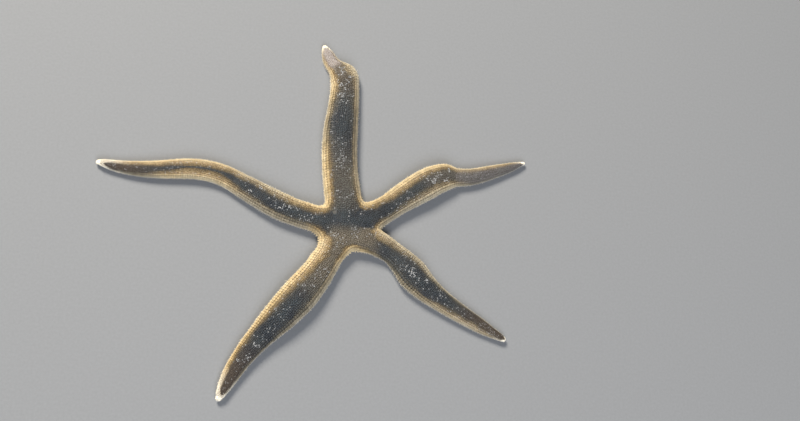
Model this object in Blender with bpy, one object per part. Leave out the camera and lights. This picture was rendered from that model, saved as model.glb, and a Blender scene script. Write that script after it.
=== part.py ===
"""Slender-armed starfish, Luidia clathrata: its solid parts, resting on their soles on the plane z = 0.

Lengths in this file are millimetres, and the finished meshes are scaled to metres. +Z is up. The arms are
named for where they point, with +Y as north. Each arm is an axis that leaves the disc's centre and
bends in the level, with one cross-section swept along it: a flat sole with the tube-foot groove in
its middle, a rounded edge and a low dome. Two arms, the north and the east, once lost their ends,
and carry a narrow regrown tip beyond the shoulder of the old stump.
"""

from math import ceil, cos, pi, radians, sin, sqrt

import bmesh
import bpy
import numpy as np
from mathutils import Matrix, Vector

MM = 0.001
GAP = 0.3                  # left between neighbouring pieces

# course: (distance along the axis, compass angle of the axis in degrees, from +X towards +Y).
# left, right: (distance, half breadth) of the side to the left and to the right of the axis.
# cuts: the distances at which the disc ends and the arm's root, middle and tip begin.
ARMS = {
    "north": {
        "course": [(0, 90), (22, 97), (40, 90), (56, 85), (68, 87), (76, 121), (86, 119), (95, 98)],
        "left": [(0, 9.8), (11.4, 9.8), (13, 9.3), (20, 9.1), (46, 8.5), (58, 7.6), (70, 6.9),
                 (75, 6.3), (78, 4.7), (81, 4.1), (85, 4.2), (90, 3.3), (94, 1.8)],
        "right": [(0, 10.1), (12.4, 10.1), (14, 9.2), (17, 8.7), (24, 8.4), (46, 8.5), (58, 8.0),
                  (70, 7.4), (75, 8.9), (78, 8.9), (81, 7.3), (85, 4.6), (90, 3.9), (94, 2.1)],
        "cuts": (18, 48, 84),
    },
    "east": {
        "course": [(0, 26), (16, 28), (28, 38), (44, 34), (54, 20), (62, 5), (74, 18), (98, 19)],
        "left": [(0, 8.2), (14.7, 8.1), (17, 7.4), (22, 7.2), (34, 7.7), (44, 7.9), (54, 7.5),
                 (58, 6.9), (62, 4.9), (70, 4.2), (82, 3.4), (90, 2.6), (97, 1.2)],
        "right": [(0, 7.6), (15.5, 7.5), (17, 6.7), (20, 6.2), (24, 5.9), (34, 6.7), (44, 7.6),
                  (54, 7.0), (58, 6.3), (62, 5.4), (70, 5.1), (82, 4.2), (90, 3.3), (97, 1.4)],
        "cuts": (18, 40, 62),
    },
    "southeast": {
        "course": [(0, -26), (14, -20), (28, -42), (39, -51), (50, -38), (65, -30), (91, -26)],
        "left": [(0, 7.6), (15.5, 7.5), (17, 6.9), (20, 6.4), (24, 6.1), (32, 7.0), (38, 7.8),
                 (46, 7.2), (56, 6.1), (70, 4.9), (78, 4.2), (84, 3.2), (88, 2.5), (90, 1.9)],
        "right": [(0, 8.4), (8.9, 8.3), (10, 7.9), (12, 7.2), (14, 6.8), (18, 6.4), (24, 6.0),
                  (32, 7.0), (38, 8.0), (46, 6.6), (56, 5.3), (70, 4.3), (78, 3.8), (84, 3.0),
                  (88, 2.4), (90, 1.9)],
        "cuts": (18, 42, 66),
    },
    "southwest": {
        "course": [(0, -112), (14, -120), (30, -126), (50, -131), (66, -129), (80, -121), (97, -111)],
        "left": [(0, 8.4), (8.9, 8.3), (10, 7.7), (12, 7.1), (16, 6.8), (28, 7.9), (38, 8.5),
                 (50, 7.8), (62, 6.1), (74, 5.0), (84, 4.3), (89, 3.7), (93, 3.0), (96, 2.1)],
        "right": [(0, 9.3), (9.8, 9.2), (11, 8.5), (13, 7.9), (16, 7.6), (22, 7.6), (38, 8.5),
                  (50, 7.9), (62, 6.5), (74, 5.4), (84, 4.5), (89, 3.8), (93, 3.0), (96, 2.1)],
        "cuts": (18, 44, 70),
    },
    "west": {
        "course": [(0, 162), (20, 165), (38, 154), (54, 152), (66, 170), (82, 186), (100, 179),
                   (117, 167)],
        "left": [(0, 9.2), (9.8, 9.1), (11, 8.3), (13, 7.5), (16, 7.0), (30, 7.0), (44, 6.4),
                 (58, 5.6), (76, 5.3), (90, 4.8), (102, 4.0), (110, 3.1), (114, 2.4), (116, 1.8)],
        "right": [(0, 7.5), (12.8, 7.4), (14.5, 6.9), (17, 6.6), (24, 6.5), (30, 6.8), (44, 6.4),
                  (58, 5.6), (76, 5.3), (90, 4.6), (102, 3.8), (110, 3.1), (114, 2.4), (116, 1.8)],
        "cuts": (18, 50, 84),
    },
}
RING_SPACING = 3.1         # between the cross-sections of an arm
AXIS_STEP = 0.25           # for adding up an axis from its angles

# Cross-section of one side, as shares of the half breadth and of the height.
GROOVE_ROOF = (0.12, 0.24)
GROOVE_LIP = (0.22, 0.0)
SOLE_EDGE = (0.66, 0.0)
LOWER_FLANK = (0.93, 0.13)
EDGE = (1.0, 0.30)
DOME_POINTS = 6            # from the edge up to the ridge
DOME_BREADTH_POWER = 0.80  # below 1 the dome is broader than an ellipse
DOME_HEIGHT_POWER = 0.90

ARM_HEIGHT_BASE = 0.8      # height = base + share x breadth
ARM_HEIGHT_SHARE = 0.36
TIP_LIFT = 0.8             # how far the last of each arm curls off the ground
TIP_LIFT_REACH = 12.0

DISC_RADIUS = 10.0
DISC_HEIGHT = 6.9
DISC_SIDES = 30
STUB_HEIGHT = 6.3          # of each arm where it starts inside the disc
STUB_BLEND = (4.0, 26.0)   # along an arm, from that height to the arm's own
STUB_BACK = 3.0            # how far each arm's stub runs on past the centre, inside the disc
UNDERLAY = 1.0             # the disc's parts are joined with this much below the sole, then cut level
UNDERLAY_STEP = 0.2        # each goes this much deeper than the last, so that no two faces coincide
CUTTER_DEPTH = 4.0         # cutters from below start this far under the sole
SLAB_RADIUS = 60.0

MOUTH_RADIUS = 5.0
MOUTH_SIDES = 28
MOUTH_PHASE = 0.37         # turns its corners, in sides, off those of the disc
GROOVE_START = 3.5         # along an arm, inside the mouth
MOUTH_DEPTH = 2.6
JAW_REACH = 1.3            # from the mouth's centre to a jaw's point
JAW_POINT_HALF = 0.2
JAW_SHOULDER = 0.5         # behind the point
JAW_SHOULDER_HALF = 0.55
JAW_BACK_HALF = 1.7
JAW_LEVELS = ((0.4, 0.72), (0.75, 0.92), (1.2, 1.0), (2.1, 1.0))  # (height, share of the outline)

PLATE_LENGTH = 1.7         # terminal plate, the hard cap of an arm
PLATE_NOSE = (0.0, 0.45, 0.75, 0.95)

MADREPORITE_ANGLE = 128.0
MADREPORITE_FROM_CENTRE = 8.0
MADREPORITE_RADIUS = 1.2
MADREPORITE_CROWN_RADIUS = 0.96
MADREPORITE_BOTTOM = 5.0
MADREPORITE_RIM = 5.67
MADREPORITE_CROWN = 5.82
MADREPORITE_TOP = 5.9
MADREPORITE_SIDES = 16

SMOOTH_LIMIT = radians(35)

CHARCOAL = (0.045, 0.045, 0.042)
OLIVE = (0.20, 0.15, 0.085)
CREAM = (0.62, 0.54, 0.38)


def eased(stations, at):
    """The value at a distance, on a cubic through the stations that never overshoots them."""
    x, y = np.array(stations, float).T
    width = np.diff(x)
    rise = np.diff(y) / width
    slope = np.zeros(len(x))
    slope[0], slope[-1] = rise[0], rise[-1]
    for i in range(1, len(x) - 1):
        if rise[i - 1] * rise[i] > 0:
            before, after = 2 * width[i] + width[i - 1], width[i] + 2 * width[i - 1]
            slope[i] = (before + after) / (before / rise[i - 1] + after / rise[i])
    at = np.clip(at, x[0], x[-1])
    i = np.clip(np.searchsorted(x, at, side="right") - 1, 0, len(width) - 1)
    t = (at - x[i]) / width[i]
    return ((2 * t**3 - 3 * t**2 + 1) * y[i] + (t**3 - 2 * t**2 + t) * width[i] * slope[i]
            + (3 * t**2 - 2 * t**3) * y[i + 1] + (t**3 - t**2) * width[i] * slope[i + 1])


def smooth_step(low, high, at):
    t = min(max((at - low) / (high - low), 0.0), 1.0)
    return t * t * (3 - 2 * t)


def arm_end(arm):
    """The length of an arm's axis, from the disc's centre to the tip."""
    return arm["course"][-1][0]


def place_on_axis(arm, at):
    """The axis point at a distance, and the level direction to the left there."""
    along = np.linspace(0, arm_end(arm), ceil(arm_end(arm) / AXIS_STEP) + 1)
    angles = np.radians(eased(arm["course"], along))
    headings = np.column_stack([np.cos(angles), np.sin(angles)])
    steps = (headings[1:] + headings[:-1]) / 2 * np.diff(along)[:, None]
    points = np.vstack([[0, 0], np.cumsum(steps, axis=0)])
    angle = radians(float(eased(arm["course"], at)))
    x, y = (float(np.interp(at, along, points[:, k])) for k in (0, 1))
    behind_centre = min(at, 0.0)
    centre = Vector((x + behind_centre * cos(angle), y + behind_centre * sin(angle), 0))
    return centre, Vector((-sin(angle), cos(angle), 0))


def half_breadths(arm, at):
    """The half breadths to the left and right of the axis."""
    return float(eased(arm["left"], at)), float(eased(arm["right"], at))


def height_at(arm, at):
    own = ARM_HEIGHT_BASE + ARM_HEIGHT_SHARE * sum(half_breadths(arm, at))
    return STUB_HEIGHT + (own - STUB_HEIGHT) * smooth_step(*STUB_BLEND, at)


def dome(share):
    """A point of the upper outline, from the edge (share 0) to the ridge (share 1)."""
    angle = share * pi / 2
    return (max(cos(angle), 0.0) ** DOME_BREADTH_POWER,
            EDGE[1] + (1 - EDGE[1]) * sin(angle) ** DOME_HEIGHT_POWER)


def ring(arm, at, under=(GROOVE_ROOF, GROOVE_LIP, SOLE_EDGE), halves=None, scale=1.0):
    """The cross-section of an arm at a distance along it, shrunk about its axis by scale."""
    centre, left = place_on_axis(arm, at)
    left_half, right_half = halves or half_breadths(arm, at)
    height = height_at(arm, at)
    middle = height * EDGE[1]
    lift = TIP_LIFT * smooth_step(arm_end(arm) - TIP_LIFT_REACH, arm_end(arm), at)
    crown = [dome(k / (DOME_POINTS + 0.5)) for k in range(1, DOME_POINTS + 1)]
    side = [*under, LOWER_FLANK, EDGE, *crown]
    outline = [(-x * right_half, z) for x, z in side] + [(x * left_half, z) for x, z in reversed(side)]
    return [centre + left * x * scale + Vector((0, 0, middle + (z * height - middle) * scale + lift))
            for x, z in outline]


def groove_ring(arm, at):
    """The cutter for the tube-foot groove, its walls carried on below the sole."""
    centre, left = place_on_axis(arm, at)
    half = half_breadths(arm, at)[0]
    roof_height = GROOVE_ROOF[1] * height_at(arm, at)
    flare = (GROOVE_LIP[0] - GROOVE_ROOF[0]) * half / roof_height
    roof = GROOVE_ROOF[0] * half
    foot = GROOVE_LIP[0] * half + flare * CUTTER_DEPTH
    outline = [(-foot, -CUTTER_DEPTH), (foot, -CUTTER_DEPTH), (roof, roof_height), (-roof, roof_height)]
    return [centre + left * x + Vector((0, 0, z)) for x, z in outline]


def mesh_object(name, points, faces):
    """A closed body from points in millimetres, its faces turned outwards."""
    mesh = bpy.data.meshes.new(name)
    mesh.from_pydata(points, [], faces)
    body = bmesh.new()
    body.from_mesh(mesh)
    bmesh.ops.recalc_face_normals(body, faces=body.faces)
    body.to_mesh(mesh)
    body.free()
    mesh.shade_smooth()
    mesh.set_sharp_from_angle(angle=SMOOTH_LIMIT)
    piece = bpy.data.objects.new(name, mesh)
    bpy.context.scene.collection.objects.link(piece)
    return piece


def loft(name, rings):
    """A body through rings of equal point counts, closed by a flat face at each end."""
    count = len(rings[0])
    last = (len(rings) - 1) * count
    faces = [list(range(count)), [last + k for k in range(count)]]
    for low in range(0, last, count):
        for k in range(count):
            after = (k + 1) % count
            faces.append([low + k, low + after, low + count + after, low + count + k])
    return mesh_object(name, [point for points in rings for point in points], faces)


def turned(name, profile, steps, at=(0.0, 0.0), phase=0.0):
    """A body turned about an upright axis, from (radius, height) points that start and end on it."""
    foot, *rim, top = profile
    points = [Vector((*at, foot[1])), Vector((*at, top[1]))]
    for radius, height in rim:
        for k in range(steps):
            angle = 2 * pi * (k + phase) / steps
            points.append(Vector((at[0] + radius * cos(angle), at[1] + radius * sin(angle), height)))
    last = 2 + (len(rim) - 1) * steps
    faces = []
    for k in range(steps):
        after = (k + 1) % steps
        faces.append([0, 2 + k, 2 + after])
        faces.append([1, last + after, last + k])
        for low in range(2, last, steps):
            faces.append([low + k, low + steps + k, low + steps + after, low + after])
    return mesh_object(name, points, faces)


def combine(piece, tool, operation):
    """Joins or cuts a piece with a tool, and removes the tool."""
    boolean = piece.modifiers.new(operation.lower(), "BOOLEAN")
    boolean.operation = operation
    boolean.solver = "EXACT"
    boolean.object = tool
    bpy.context.view_layer.update()
    evaluated = piece.evaluated_get(bpy.context.evaluated_depsgraph_get())
    piece.data = bpy.data.meshes.new_from_object(evaluated)
    piece.modifiers.clear()
    bpy.data.objects.remove(tool, do_unlink=True)


def stations(start, end):
    return np.linspace(start, end, ceil((end - start) / RING_SPACING) + 1)


def make_centre():
    """The round middle of the disc, carried on below the sole."""
    foot = -UNDERLAY / DISC_HEIGHT
    side = [(0, foot), (SOLE_EDGE[0], foot), SOLE_EDGE, LOWER_FLANK, EDGE]
    side += [dome(k / DOME_POINTS) for k in range(1, DOME_POINTS)]
    side.append((0, 1))
    profile = [(radius * DISC_RADIUS, height * DISC_HEIGHT) for radius, height in side]
    return turned("disc", profile, DISC_SIDES)


def make_stub(arm, number):
    """The start of an arm inside the disc, without its groove."""
    foot = -(UNDERLAY + number * UNDERLAY_STEP) / STUB_HEIGHT
    under = ((SOLE_EDGE[0], foot), SOLE_EDGE)
    end = arm["cuts"][0] - GAP / 2
    return loft("stub", [ring(arm, at, under) for at in stations(-STUB_BACK, end)])


def make_disc():
    """The central body with the stub of each arm, its grooves, the mouth and the madreporite's pit."""
    disc = make_centre()
    for number, arm in enumerate(ARMS.values(), 1):
        combine(disc, make_stub(arm, number), "UNION")
    mouth = [(0, -CUTTER_DEPTH), (MOUTH_RADIUS, -CUTTER_DEPTH),
             (MOUTH_RADIUS, MOUTH_DEPTH), (0, MOUTH_DEPTH)]
    combine(disc, turned("mouth", mouth, MOUTH_SIDES, phase=MOUTH_PHASE), "DIFFERENCE")
    for arm in ARMS.values():
        groove = [groove_ring(arm, at) for at in stations(GROOVE_START, arm["cuts"][0] + GAP)]
        combine(disc, loft("groove", groove), "DIFFERENCE")
    deep = -2 * CUTTER_DEPTH
    slab = [(0, deep), (SLAB_RADIUS, deep), (SLAB_RADIUS, 0), (0, 0)]
    combine(disc, turned("slab", slab, MOUTH_SIDES, phase=MOUTH_PHASE), "DIFFERENCE")
    radius, bottom = MADREPORITE_RADIUS + GAP, MADREPORITE_BOTTOM - GAP
    pit = [(0, bottom), (radius, bottom), (radius, 2 * DISC_HEIGHT), (0, 2 * DISC_HEIGHT)]
    combine(disc, turned("pit", pit, MADREPORITE_SIDES, madreporite_place()), "DIFFERENCE")
    return disc


def madreporite_place():
    angle = radians(MADREPORITE_ANGLE)
    return MADREPORITE_FROM_CENTRE * cos(angle), MADREPORITE_FROM_CENTRE * sin(angle)


def make_madreporite():
    """The low sieve button on the disc, between the north and west arms."""
    profile = [(0, MADREPORITE_BOTTOM), (MADREPORITE_RADIUS, MADREPORITE_BOTTOM),
               (MADREPORITE_RADIUS, MADREPORITE_RIM), (MADREPORITE_CROWN_RADIUS, MADREPORITE_CROWN),
               (0, MADREPORITE_TOP)]
    return turned("madreporite", profile, MADREPORITE_SIDES, madreporite_place())


def arm_length(name, arm, start, end):
    return loft(name, [ring(arm, at) for at in stations(start, end)])


def make_terminal_plate(name, arm):
    """The blunt cap at an arm's end: the arm's own section, drawn in over a round nose."""
    start = arm_end(arm) - PLATE_LENGTH
    halves = half_breadths(arm, start)
    rings = []
    for share in PLATE_NOSE:
        at = start + share * PLATE_LENGTH
        rings.append(ring(arm, at, (GROOVE_LIP, SOLE_EDGE), halves, sqrt(1 - share**2)))
    return loft(name, rings)


def interradial_angles():
    """The directions midway between neighbouring arms, where the jaws are."""
    headings = sorted(float(arm["course"][0][1]) % 360 for arm in ARMS.values())
    following = headings[1:] + [headings[0] + 360]
    return [radians((a + b) / 2) for a, b in zip(headings, following)]


def make_jaw(name, angle):
    """A wedge that points into the mouth, rounded at its point, its back curved like the mouth's wall."""
    back = MOUTH_RADIUS * cos(pi / MOUTH_SIDES) - GAP
    spread = JAW_BACK_HALF / back
    outline = [Vector((back * cos(t), back * sin(t))) for t in (-spread, -spread / 3, spread / 3, spread)]
    shoulder = JAW_REACH + JAW_SHOULDER
    outline += [Vector((shoulder, JAW_SHOULDER_HALF)), Vector((JAW_REACH, JAW_POINT_HALF)),
                Vector((JAW_REACH, -JAW_POINT_HALF)), Vector((shoulder, -JAW_SHOULDER_HALF))]
    middle = sum(outline, Vector((0, 0))) / len(outline)
    turn = Matrix.Rotation(angle, 2)
    rings = []
    for height, share in JAW_LEVELS:
        shape = [turn @ (middle + (point - middle) * share) for point in outline]
        rings.append([Vector((point.x, point.y, height)) for point in shape])
    return loft(name, rings)


def paint(piece, colour, roughness):
    """Gives a piece its own plain material."""
    material = bpy.data.materials.new(piece.name)
    material.use_nodes = True
    shader = material.node_tree.nodes["Principled BSDF"]
    shader.inputs["Base Color"].default_value = (*colour, 1)
    shader.inputs["Roughness"].default_value = roughness
    shader.inputs["Metallic"].default_value = 0.0
    piece.data.materials.clear()
    piece.data.materials.append(material)
    return piece


def centre_on_ground(pieces):
    """Scales every piece to metres and centres the whole over the origin, soles on z = 0."""
    for piece in pieces:
        piece.data.transform(Matrix.Scale(MM, 4))
    corners = [vertex.co for piece in pieces for vertex in piece.data.vertices]
    low = [min(corner[k] for corner in corners) for k in range(3)]
    high = [max(corner[k] for corner in corners) for k in range(3)]
    for piece in pieces:
        piece.location = (-(low[0] + high[0]) / 2, -(low[1] + high[1]) / 2, -low[2])


def main():
    for old in list(bpy.data.objects):
        bpy.data.objects.remove(old, do_unlink=True)
    pieces = [paint(make_disc(), CHARCOAL, 0.5)]
    for name, arm in ARMS.items():
        plate_start = arm_end(arm) - PLATE_LENGTH - GAP / 2
        ends = (*arm["cuts"], plate_start)
        for part, start, end in zip(("root", "middle", "tip"), ends[:-1], ends[1:]):
            piece = arm_length(f"arm_{name}_{part}", arm, start + GAP / 2, end - GAP / 2)
            pieces.append(paint(piece, OLIVE, 0.5))
        pieces.append(paint(make_terminal_plate(f"terminal_plate_{name}", arm), CREAM, 0.45))
    for number, angle in enumerate(interradial_angles(), 1):
        pieces.append(paint(make_jaw(f"jaw_{number}", angle), CREAM, 0.5))
    pieces.append(paint(make_madreporite(), CREAM, 0.55))
    centre_on_ground(pieces)


main()
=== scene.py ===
"""Slender-armed starfish, Luidia clathrata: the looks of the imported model, resting on a plain floor.

Lengths here are millimetres, and become metres where a mesh is made. The arms repeat the courses and
breadths of the solids, and the disc's centre is found from the frame. One skin stands for the disc and
the arms. On it lie the paxillae, small tables crowned with granules, and the fringe of marginal spines;
below it lie the marginal plates with their scales, the groove spines and the tube feet.
"""

from collections import namedtuple
from itertools import product
from math import atan2, ceil, cos, pi, radians, sin, sqrt

import bmesh
import bpy
import numpy as np
from mathutils import Matrix, Vector, noise
from mathutils.bvhtree import BVHTree


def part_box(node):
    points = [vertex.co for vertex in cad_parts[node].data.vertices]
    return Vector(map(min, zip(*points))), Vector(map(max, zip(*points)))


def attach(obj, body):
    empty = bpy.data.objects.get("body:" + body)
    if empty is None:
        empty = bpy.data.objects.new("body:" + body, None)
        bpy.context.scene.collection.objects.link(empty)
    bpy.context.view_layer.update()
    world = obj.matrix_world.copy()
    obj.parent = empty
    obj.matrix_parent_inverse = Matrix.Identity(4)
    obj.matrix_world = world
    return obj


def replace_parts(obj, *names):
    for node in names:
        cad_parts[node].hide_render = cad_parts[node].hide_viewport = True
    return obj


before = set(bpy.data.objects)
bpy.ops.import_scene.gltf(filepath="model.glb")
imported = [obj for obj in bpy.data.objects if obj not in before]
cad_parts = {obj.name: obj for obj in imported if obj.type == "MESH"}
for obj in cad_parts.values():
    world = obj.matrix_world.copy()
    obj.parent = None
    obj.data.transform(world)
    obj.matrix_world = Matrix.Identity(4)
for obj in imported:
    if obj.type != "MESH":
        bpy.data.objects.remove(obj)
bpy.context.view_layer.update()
MM = 0.001

# ---------------------------------------------------------------- driving sizes, as in the solids
ARMS = {
    "north": {
        "course": [(0, 90), (22, 97), (40, 90), (56, 85), (68, 87), (76, 121), (86, 119), (95, 98)],
        "left": [(0, 9.8), (11.4, 9.8), (13, 9.3), (20, 9.1), (46, 8.5), (58, 7.6), (70, 6.9),
                 (75, 6.3), (78, 4.7), (81, 4.1), (85, 4.2), (90, 3.3), (94, 1.8)],
        "right": [(0, 10.1), (12.4, 10.1), (14, 9.2), (17, 8.7), (24, 8.4), (46, 8.5), (58, 8.0),
                  (70, 7.4), (75, 8.9), (78, 8.9), (81, 7.3), (85, 4.6), (90, 3.9), (94, 2.1)],
        "regrown": 82,
    },
    "east": {
        "course": [(0, 26), (16, 28), (28, 38), (44, 34), (54, 20), (62, 5), (74, 18), (98, 19)],
        "left": [(0, 8.2), (14.7, 8.1), (17, 7.4), (22, 7.2), (34, 7.7), (44, 7.9), (54, 7.5),
                 (58, 6.9), (62, 4.9), (70, 4.2), (82, 3.4), (90, 2.6), (97, 1.2)],
        "right": [(0, 7.6), (15.5, 7.5), (17, 6.7), (20, 6.2), (24, 5.9), (34, 6.7), (44, 7.6),
                  (54, 7.0), (58, 6.3), (62, 5.4), (70, 5.1), (82, 4.2), (90, 3.3), (97, 1.4)],
        "regrown": 61,
    },
    "southeast": {
        "course": [(0, -26), (14, -20), (28, -42), (39, -51), (50, -38), (65, -30), (91, -26)],
        "left": [(0, 7.6), (15.5, 7.5), (17, 6.9), (20, 6.4), (24, 6.1), (32, 7.0), (38, 7.8),
                 (46, 7.2), (56, 6.1), (70, 4.9), (78, 4.2), (84, 3.2), (88, 2.5), (90, 1.9)],
        "right": [(0, 8.4), (8.9, 8.3), (10, 7.9), (12, 7.2), (14, 6.8), (18, 6.4), (24, 6.0),
                  (32, 7.0), (38, 8.0), (46, 6.6), (56, 5.3), (70, 4.3), (78, 3.8), (84, 3.0),
                  (88, 2.4), (90, 1.9)],
    },
    "southwest": {
        "course": [(0, -112), (14, -120), (30, -126), (50, -131), (66, -129), (80, -121), (97, -111)],
        "left": [(0, 8.4), (8.9, 8.3), (10, 7.7), (12, 7.1), (16, 6.8), (28, 7.9), (38, 8.5),
                 (50, 7.8), (62, 6.1), (74, 5.0), (84, 4.3), (89, 3.7), (93, 3.0), (96, 2.1)],
        "right": [(0, 9.3), (9.8, 9.2), (11, 8.5), (13, 7.9), (16, 7.6), (22, 7.6), (38, 8.5),
                  (50, 7.9), (62, 6.5), (74, 5.4), (84, 4.5), (89, 3.8), (93, 3.0), (96, 2.1)],
    },
    "west": {
        "course": [(0, 162), (20, 165), (38, 154), (54, 152), (66, 170), (82, 186), (100, 179),
                   (117, 167)],
        "left": [(0, 9.2), (9.8, 9.1), (11, 8.3), (13, 7.5), (16, 7.0), (30, 7.0), (44, 6.4),
                 (58, 5.6), (76, 5.3), (90, 4.8), (102, 4.0), (110, 3.1), (114, 2.4), (116, 1.8)],
        "right": [(0, 7.5), (12.8, 7.4), (14.5, 6.9), (17, 6.6), (24, 6.5), (30, 6.8), (44, 6.4),
                  (58, 5.6), (76, 5.3), (90, 4.6), (102, 3.8), (110, 3.1), (114, 2.4), (116, 1.8)],
    },
}
GROOVE_ROOF = (0.12, 0.24)
GROOVE_LIP = (0.22, 0.0)
SOLE_EDGE = (0.66, 0.0)
LOWER_FLANK = (0.93, 0.13)
EDGE = (1.0, 0.30)
DOME_BREADTH_POWER = 0.80
DOME_HEIGHT_POWER = 0.90
ARM_HEIGHT_BASE = 0.8
ARM_HEIGHT_SHARE = 0.36
TIP_LIFT = 0.8
TIP_LIFT_REACH = 12.0
DISC_RADIUS = 10.0
DISC_HEIGHT = 6.9
STUB_HEIGHT = 6.3
STUB_BLEND = (4.0, 26.0)
MOUTH_RADIUS = 5.0
MOUTH_DEPTH = 2.6
PLATE_LENGTH = 1.7
MADREPORITE_ANGLE = radians(128.0)
MADREPORITE_FROM_CENTRE = 8.0


# ---------------------------------------------------------------- coat
EDGE_INSET, EDGE_LEAST = 0.85, 0.30    # how far the skin lies inside the solids at the edge, and its share
TOP_INSET, TOP_LEAST = 0.55, 0.20      # the same under the paxillae
SOLE_INSET, SOLE_LEAST = 0.35, 0.12    # and at the sole
FUSE = {"mode": "VOXEL", "voxel_size": 0.48}
PLATE_PITCH = 1.27         # one lateral paxilla of each row, one marginal plate, one pair of tube feet
ROW_SHARE = 0.145          # breadth of a lateral row, as a share of the way from edge to ridge
ROW_BREADTH = (0.28, 1.38)
ROW_MIDDLES = np.arange(3) + 0.62      # of the lateral rows, in row breadths up from the edge
PLATE_FILL = 0.97          # how much of its place a lateral paxilla fills
CENTRAL_PITCH = 0.84
# the room each piece keeps free round its middle, as a share of its size or in mm
LATERAL_ROOM, CENTRAL_ROOM, FILL_ROOM, LOW_SCALE_ROOM, RIB_ROOM = 0.47, 0.39, 0.42, 0.36, 0.33
FULL_SIZE_HALF = 7.0       # from this half breadth on the plates have their full size
LEAST_FACTOR = 0.42        # the least share of it, at the tips
ABOVE_ALL, BELOW_ALL = 50, -5          # heights from which rays look down and up at the skin
PATCH = 0.003              # breadth of one tuft's patch in the OFBake map
BAND_TOP = 1.12            # the band at the body's edge and beyond, where it is counted as 1 at the edge
BELOW = 1.2                # the band that colours everything on the underside
UP, DOWN = np.array((0.0, 0.0, 1.0)), np.array((0.0, 0.0, -1.0))

SEED = 7
rng = np.random.default_rng(SEED)
noise.seed_set(SEED)       # without it the noise vectors would change with the time
SIDES = (1, -1)            # left and right of an axis


def eased(stations, at):
    """The value at a distance, on a cubic through the stations that never overshoots them."""
    x, y = np.array(stations, float).T
    width = np.diff(x)
    rise = np.diff(y) / width
    slope = np.zeros(len(x))
    slope[0], slope[-1] = rise[0], rise[-1]
    for i in range(1, len(x) - 1):
        if rise[i - 1] * rise[i] > 0:
            before, after = 2 * width[i] + width[i - 1], width[i] + 2 * width[i - 1]
            slope[i] = (before + after) / (before / rise[i - 1] + after / rise[i])
    at = np.clip(at, x[0], x[-1])
    i = np.clip(np.searchsorted(x, at, side="right") - 1, 0, len(width) - 1)
    t = (at - x[i]) / width[i]
    return ((2 * t**3 - 3 * t**2 + 1) * y[i] + (t**3 - 2 * t**2 + t) * width[i] * slope[i]
            + (3 * t**2 - 2 * t**3) * y[i + 1] + (t**3 - t**2) * width[i] * slope[i + 1])


def smooth_step(low, high, at):
    t = np.clip((at - low) / (high - low), 0, 1)
    return t * t * (3 - 2 * t)


def unit(vector):
    return vector / np.linalg.norm(vector)


def read(at, stations, columns):
    """Each column's value at a distance, on straight lines through the stations."""
    return np.array([np.interp(at, stations, column) for column in columns.T])


def path_arc(path):
    """The way along a path to each of its points."""
    return np.concatenate([[0], np.cumsum(np.linalg.norm(np.diff(path, axis=0), axis=1))])


def disc_centre():
    """The disc's centre on the floor, from where the frame has the madreporite."""
    low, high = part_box("madreporite")
    middle = (low + high) / 2 / MM
    reach = Vector((cos(MADREPORITE_ANGLE), sin(MADREPORITE_ANGLE))) * MADREPORITE_FROM_CENTRE
    return np.array([middle.x - reach.x, middle.y - reach.y])


CENTRE = disc_centre()


class Arm:
    """An arm's axis, breadths and height, sampled along its length."""

    STEP = 0.25

    def __init__(self, number, name, sizes):
        self.number, self.name = number, name
        self.length = sizes["course"][-1][0]
        self.regrown = sizes.get("regrown", self.length)
        self.along = np.linspace(0, self.length, ceil(self.length / self.STEP) + 1)
        angle = np.radians(eased(sizes["course"], self.along))
        self.ahead = np.column_stack([np.cos(angle), np.sin(angle)])
        steps = (self.ahead[1:] + self.ahead[:-1]) / 2 * np.diff(self.along)[:, None]
        self.axis = CENTRE + np.vstack([[0, 0], np.cumsum(steps, axis=0)])
        self.left = np.column_stack([-self.ahead[:, 1], self.ahead[:, 0]])
        self.halves = {1: eased(sizes["left"], self.along), -1: eased(sizes["right"], self.along)}
        own = ARM_HEIGHT_BASE + ARM_HEIGHT_SHARE * (self.halves[1] + self.halves[-1])
        self.heights = STUB_HEIGHT + (own - STUB_HEIGHT) * smooth_step(*STUB_BLEND, self.along)
        self.lifts = TIP_LIFT * smooth_step(self.length - TIP_LIFT_REACH, self.length, self.along)

    def half(self, at, side):
        return np.interp(at, self.along, self.halves[side])

    def height(self, at):
        return np.interp(at, self.along, self.heights)

    def lift(self, at):
        return np.interp(at, self.along, self.lifts)

    def place(self, at, offset=0.0):
        """The place on the plan at a distance along the axis and an offset to the left of it."""
        return read(at, self.along, self.axis) + read(at, self.along, self.left) * offset

    def forward(self, at):
        """The level direction towards the tip."""
        return np.append(read(at, self.along, self.ahead), 0)

    def outward(self, at, side):
        """The level direction away from the axis."""
        return np.append(read(at, self.along, self.left) * side, 0)

    def size_factor(self, at):
        """How far the plates shrink where the arm is narrow."""
        half = (self.half(at, 1) + self.half(at, -1)) / 2
        return float(np.clip(0.30 + 0.70 * half / FULL_SIZE_HALF, LEAST_FACTOR, 1.0))


arms = [Arm(number, name, sizes) for number, (name, sizes) in enumerate(ARMS.items())]
lengths = np.array([arm.length for arm in arms])

angles = np.linspace(pi / 2, 0, 25)
UPPER = np.column_stack([np.maximum(np.cos(angles), 0) ** DOME_BREADTH_POWER,
                         EDGE[1] + (1 - EDGE[1]) * np.sin(angles) ** DOME_HEIGHT_POWER])
LOWER = np.array([LOWER_FLANK, SOLE_EDGE, (0.44, 0.0), GROOVE_LIP, GROOVE_ROOF, (0.0, GROOVE_ROOF[1] + 0.03)])


def skin_size(half, height):
    """The skin's own half breadth, the height of its sole, and its rise from there to the ridge."""
    foot = min(SOLE_INSET, SOLE_LEAST * height)
    return half - min(EDGE_INSET, EDGE_LEAST * half), foot, height - min(TOP_INSET, TOP_LEAST * height) - foot


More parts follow.
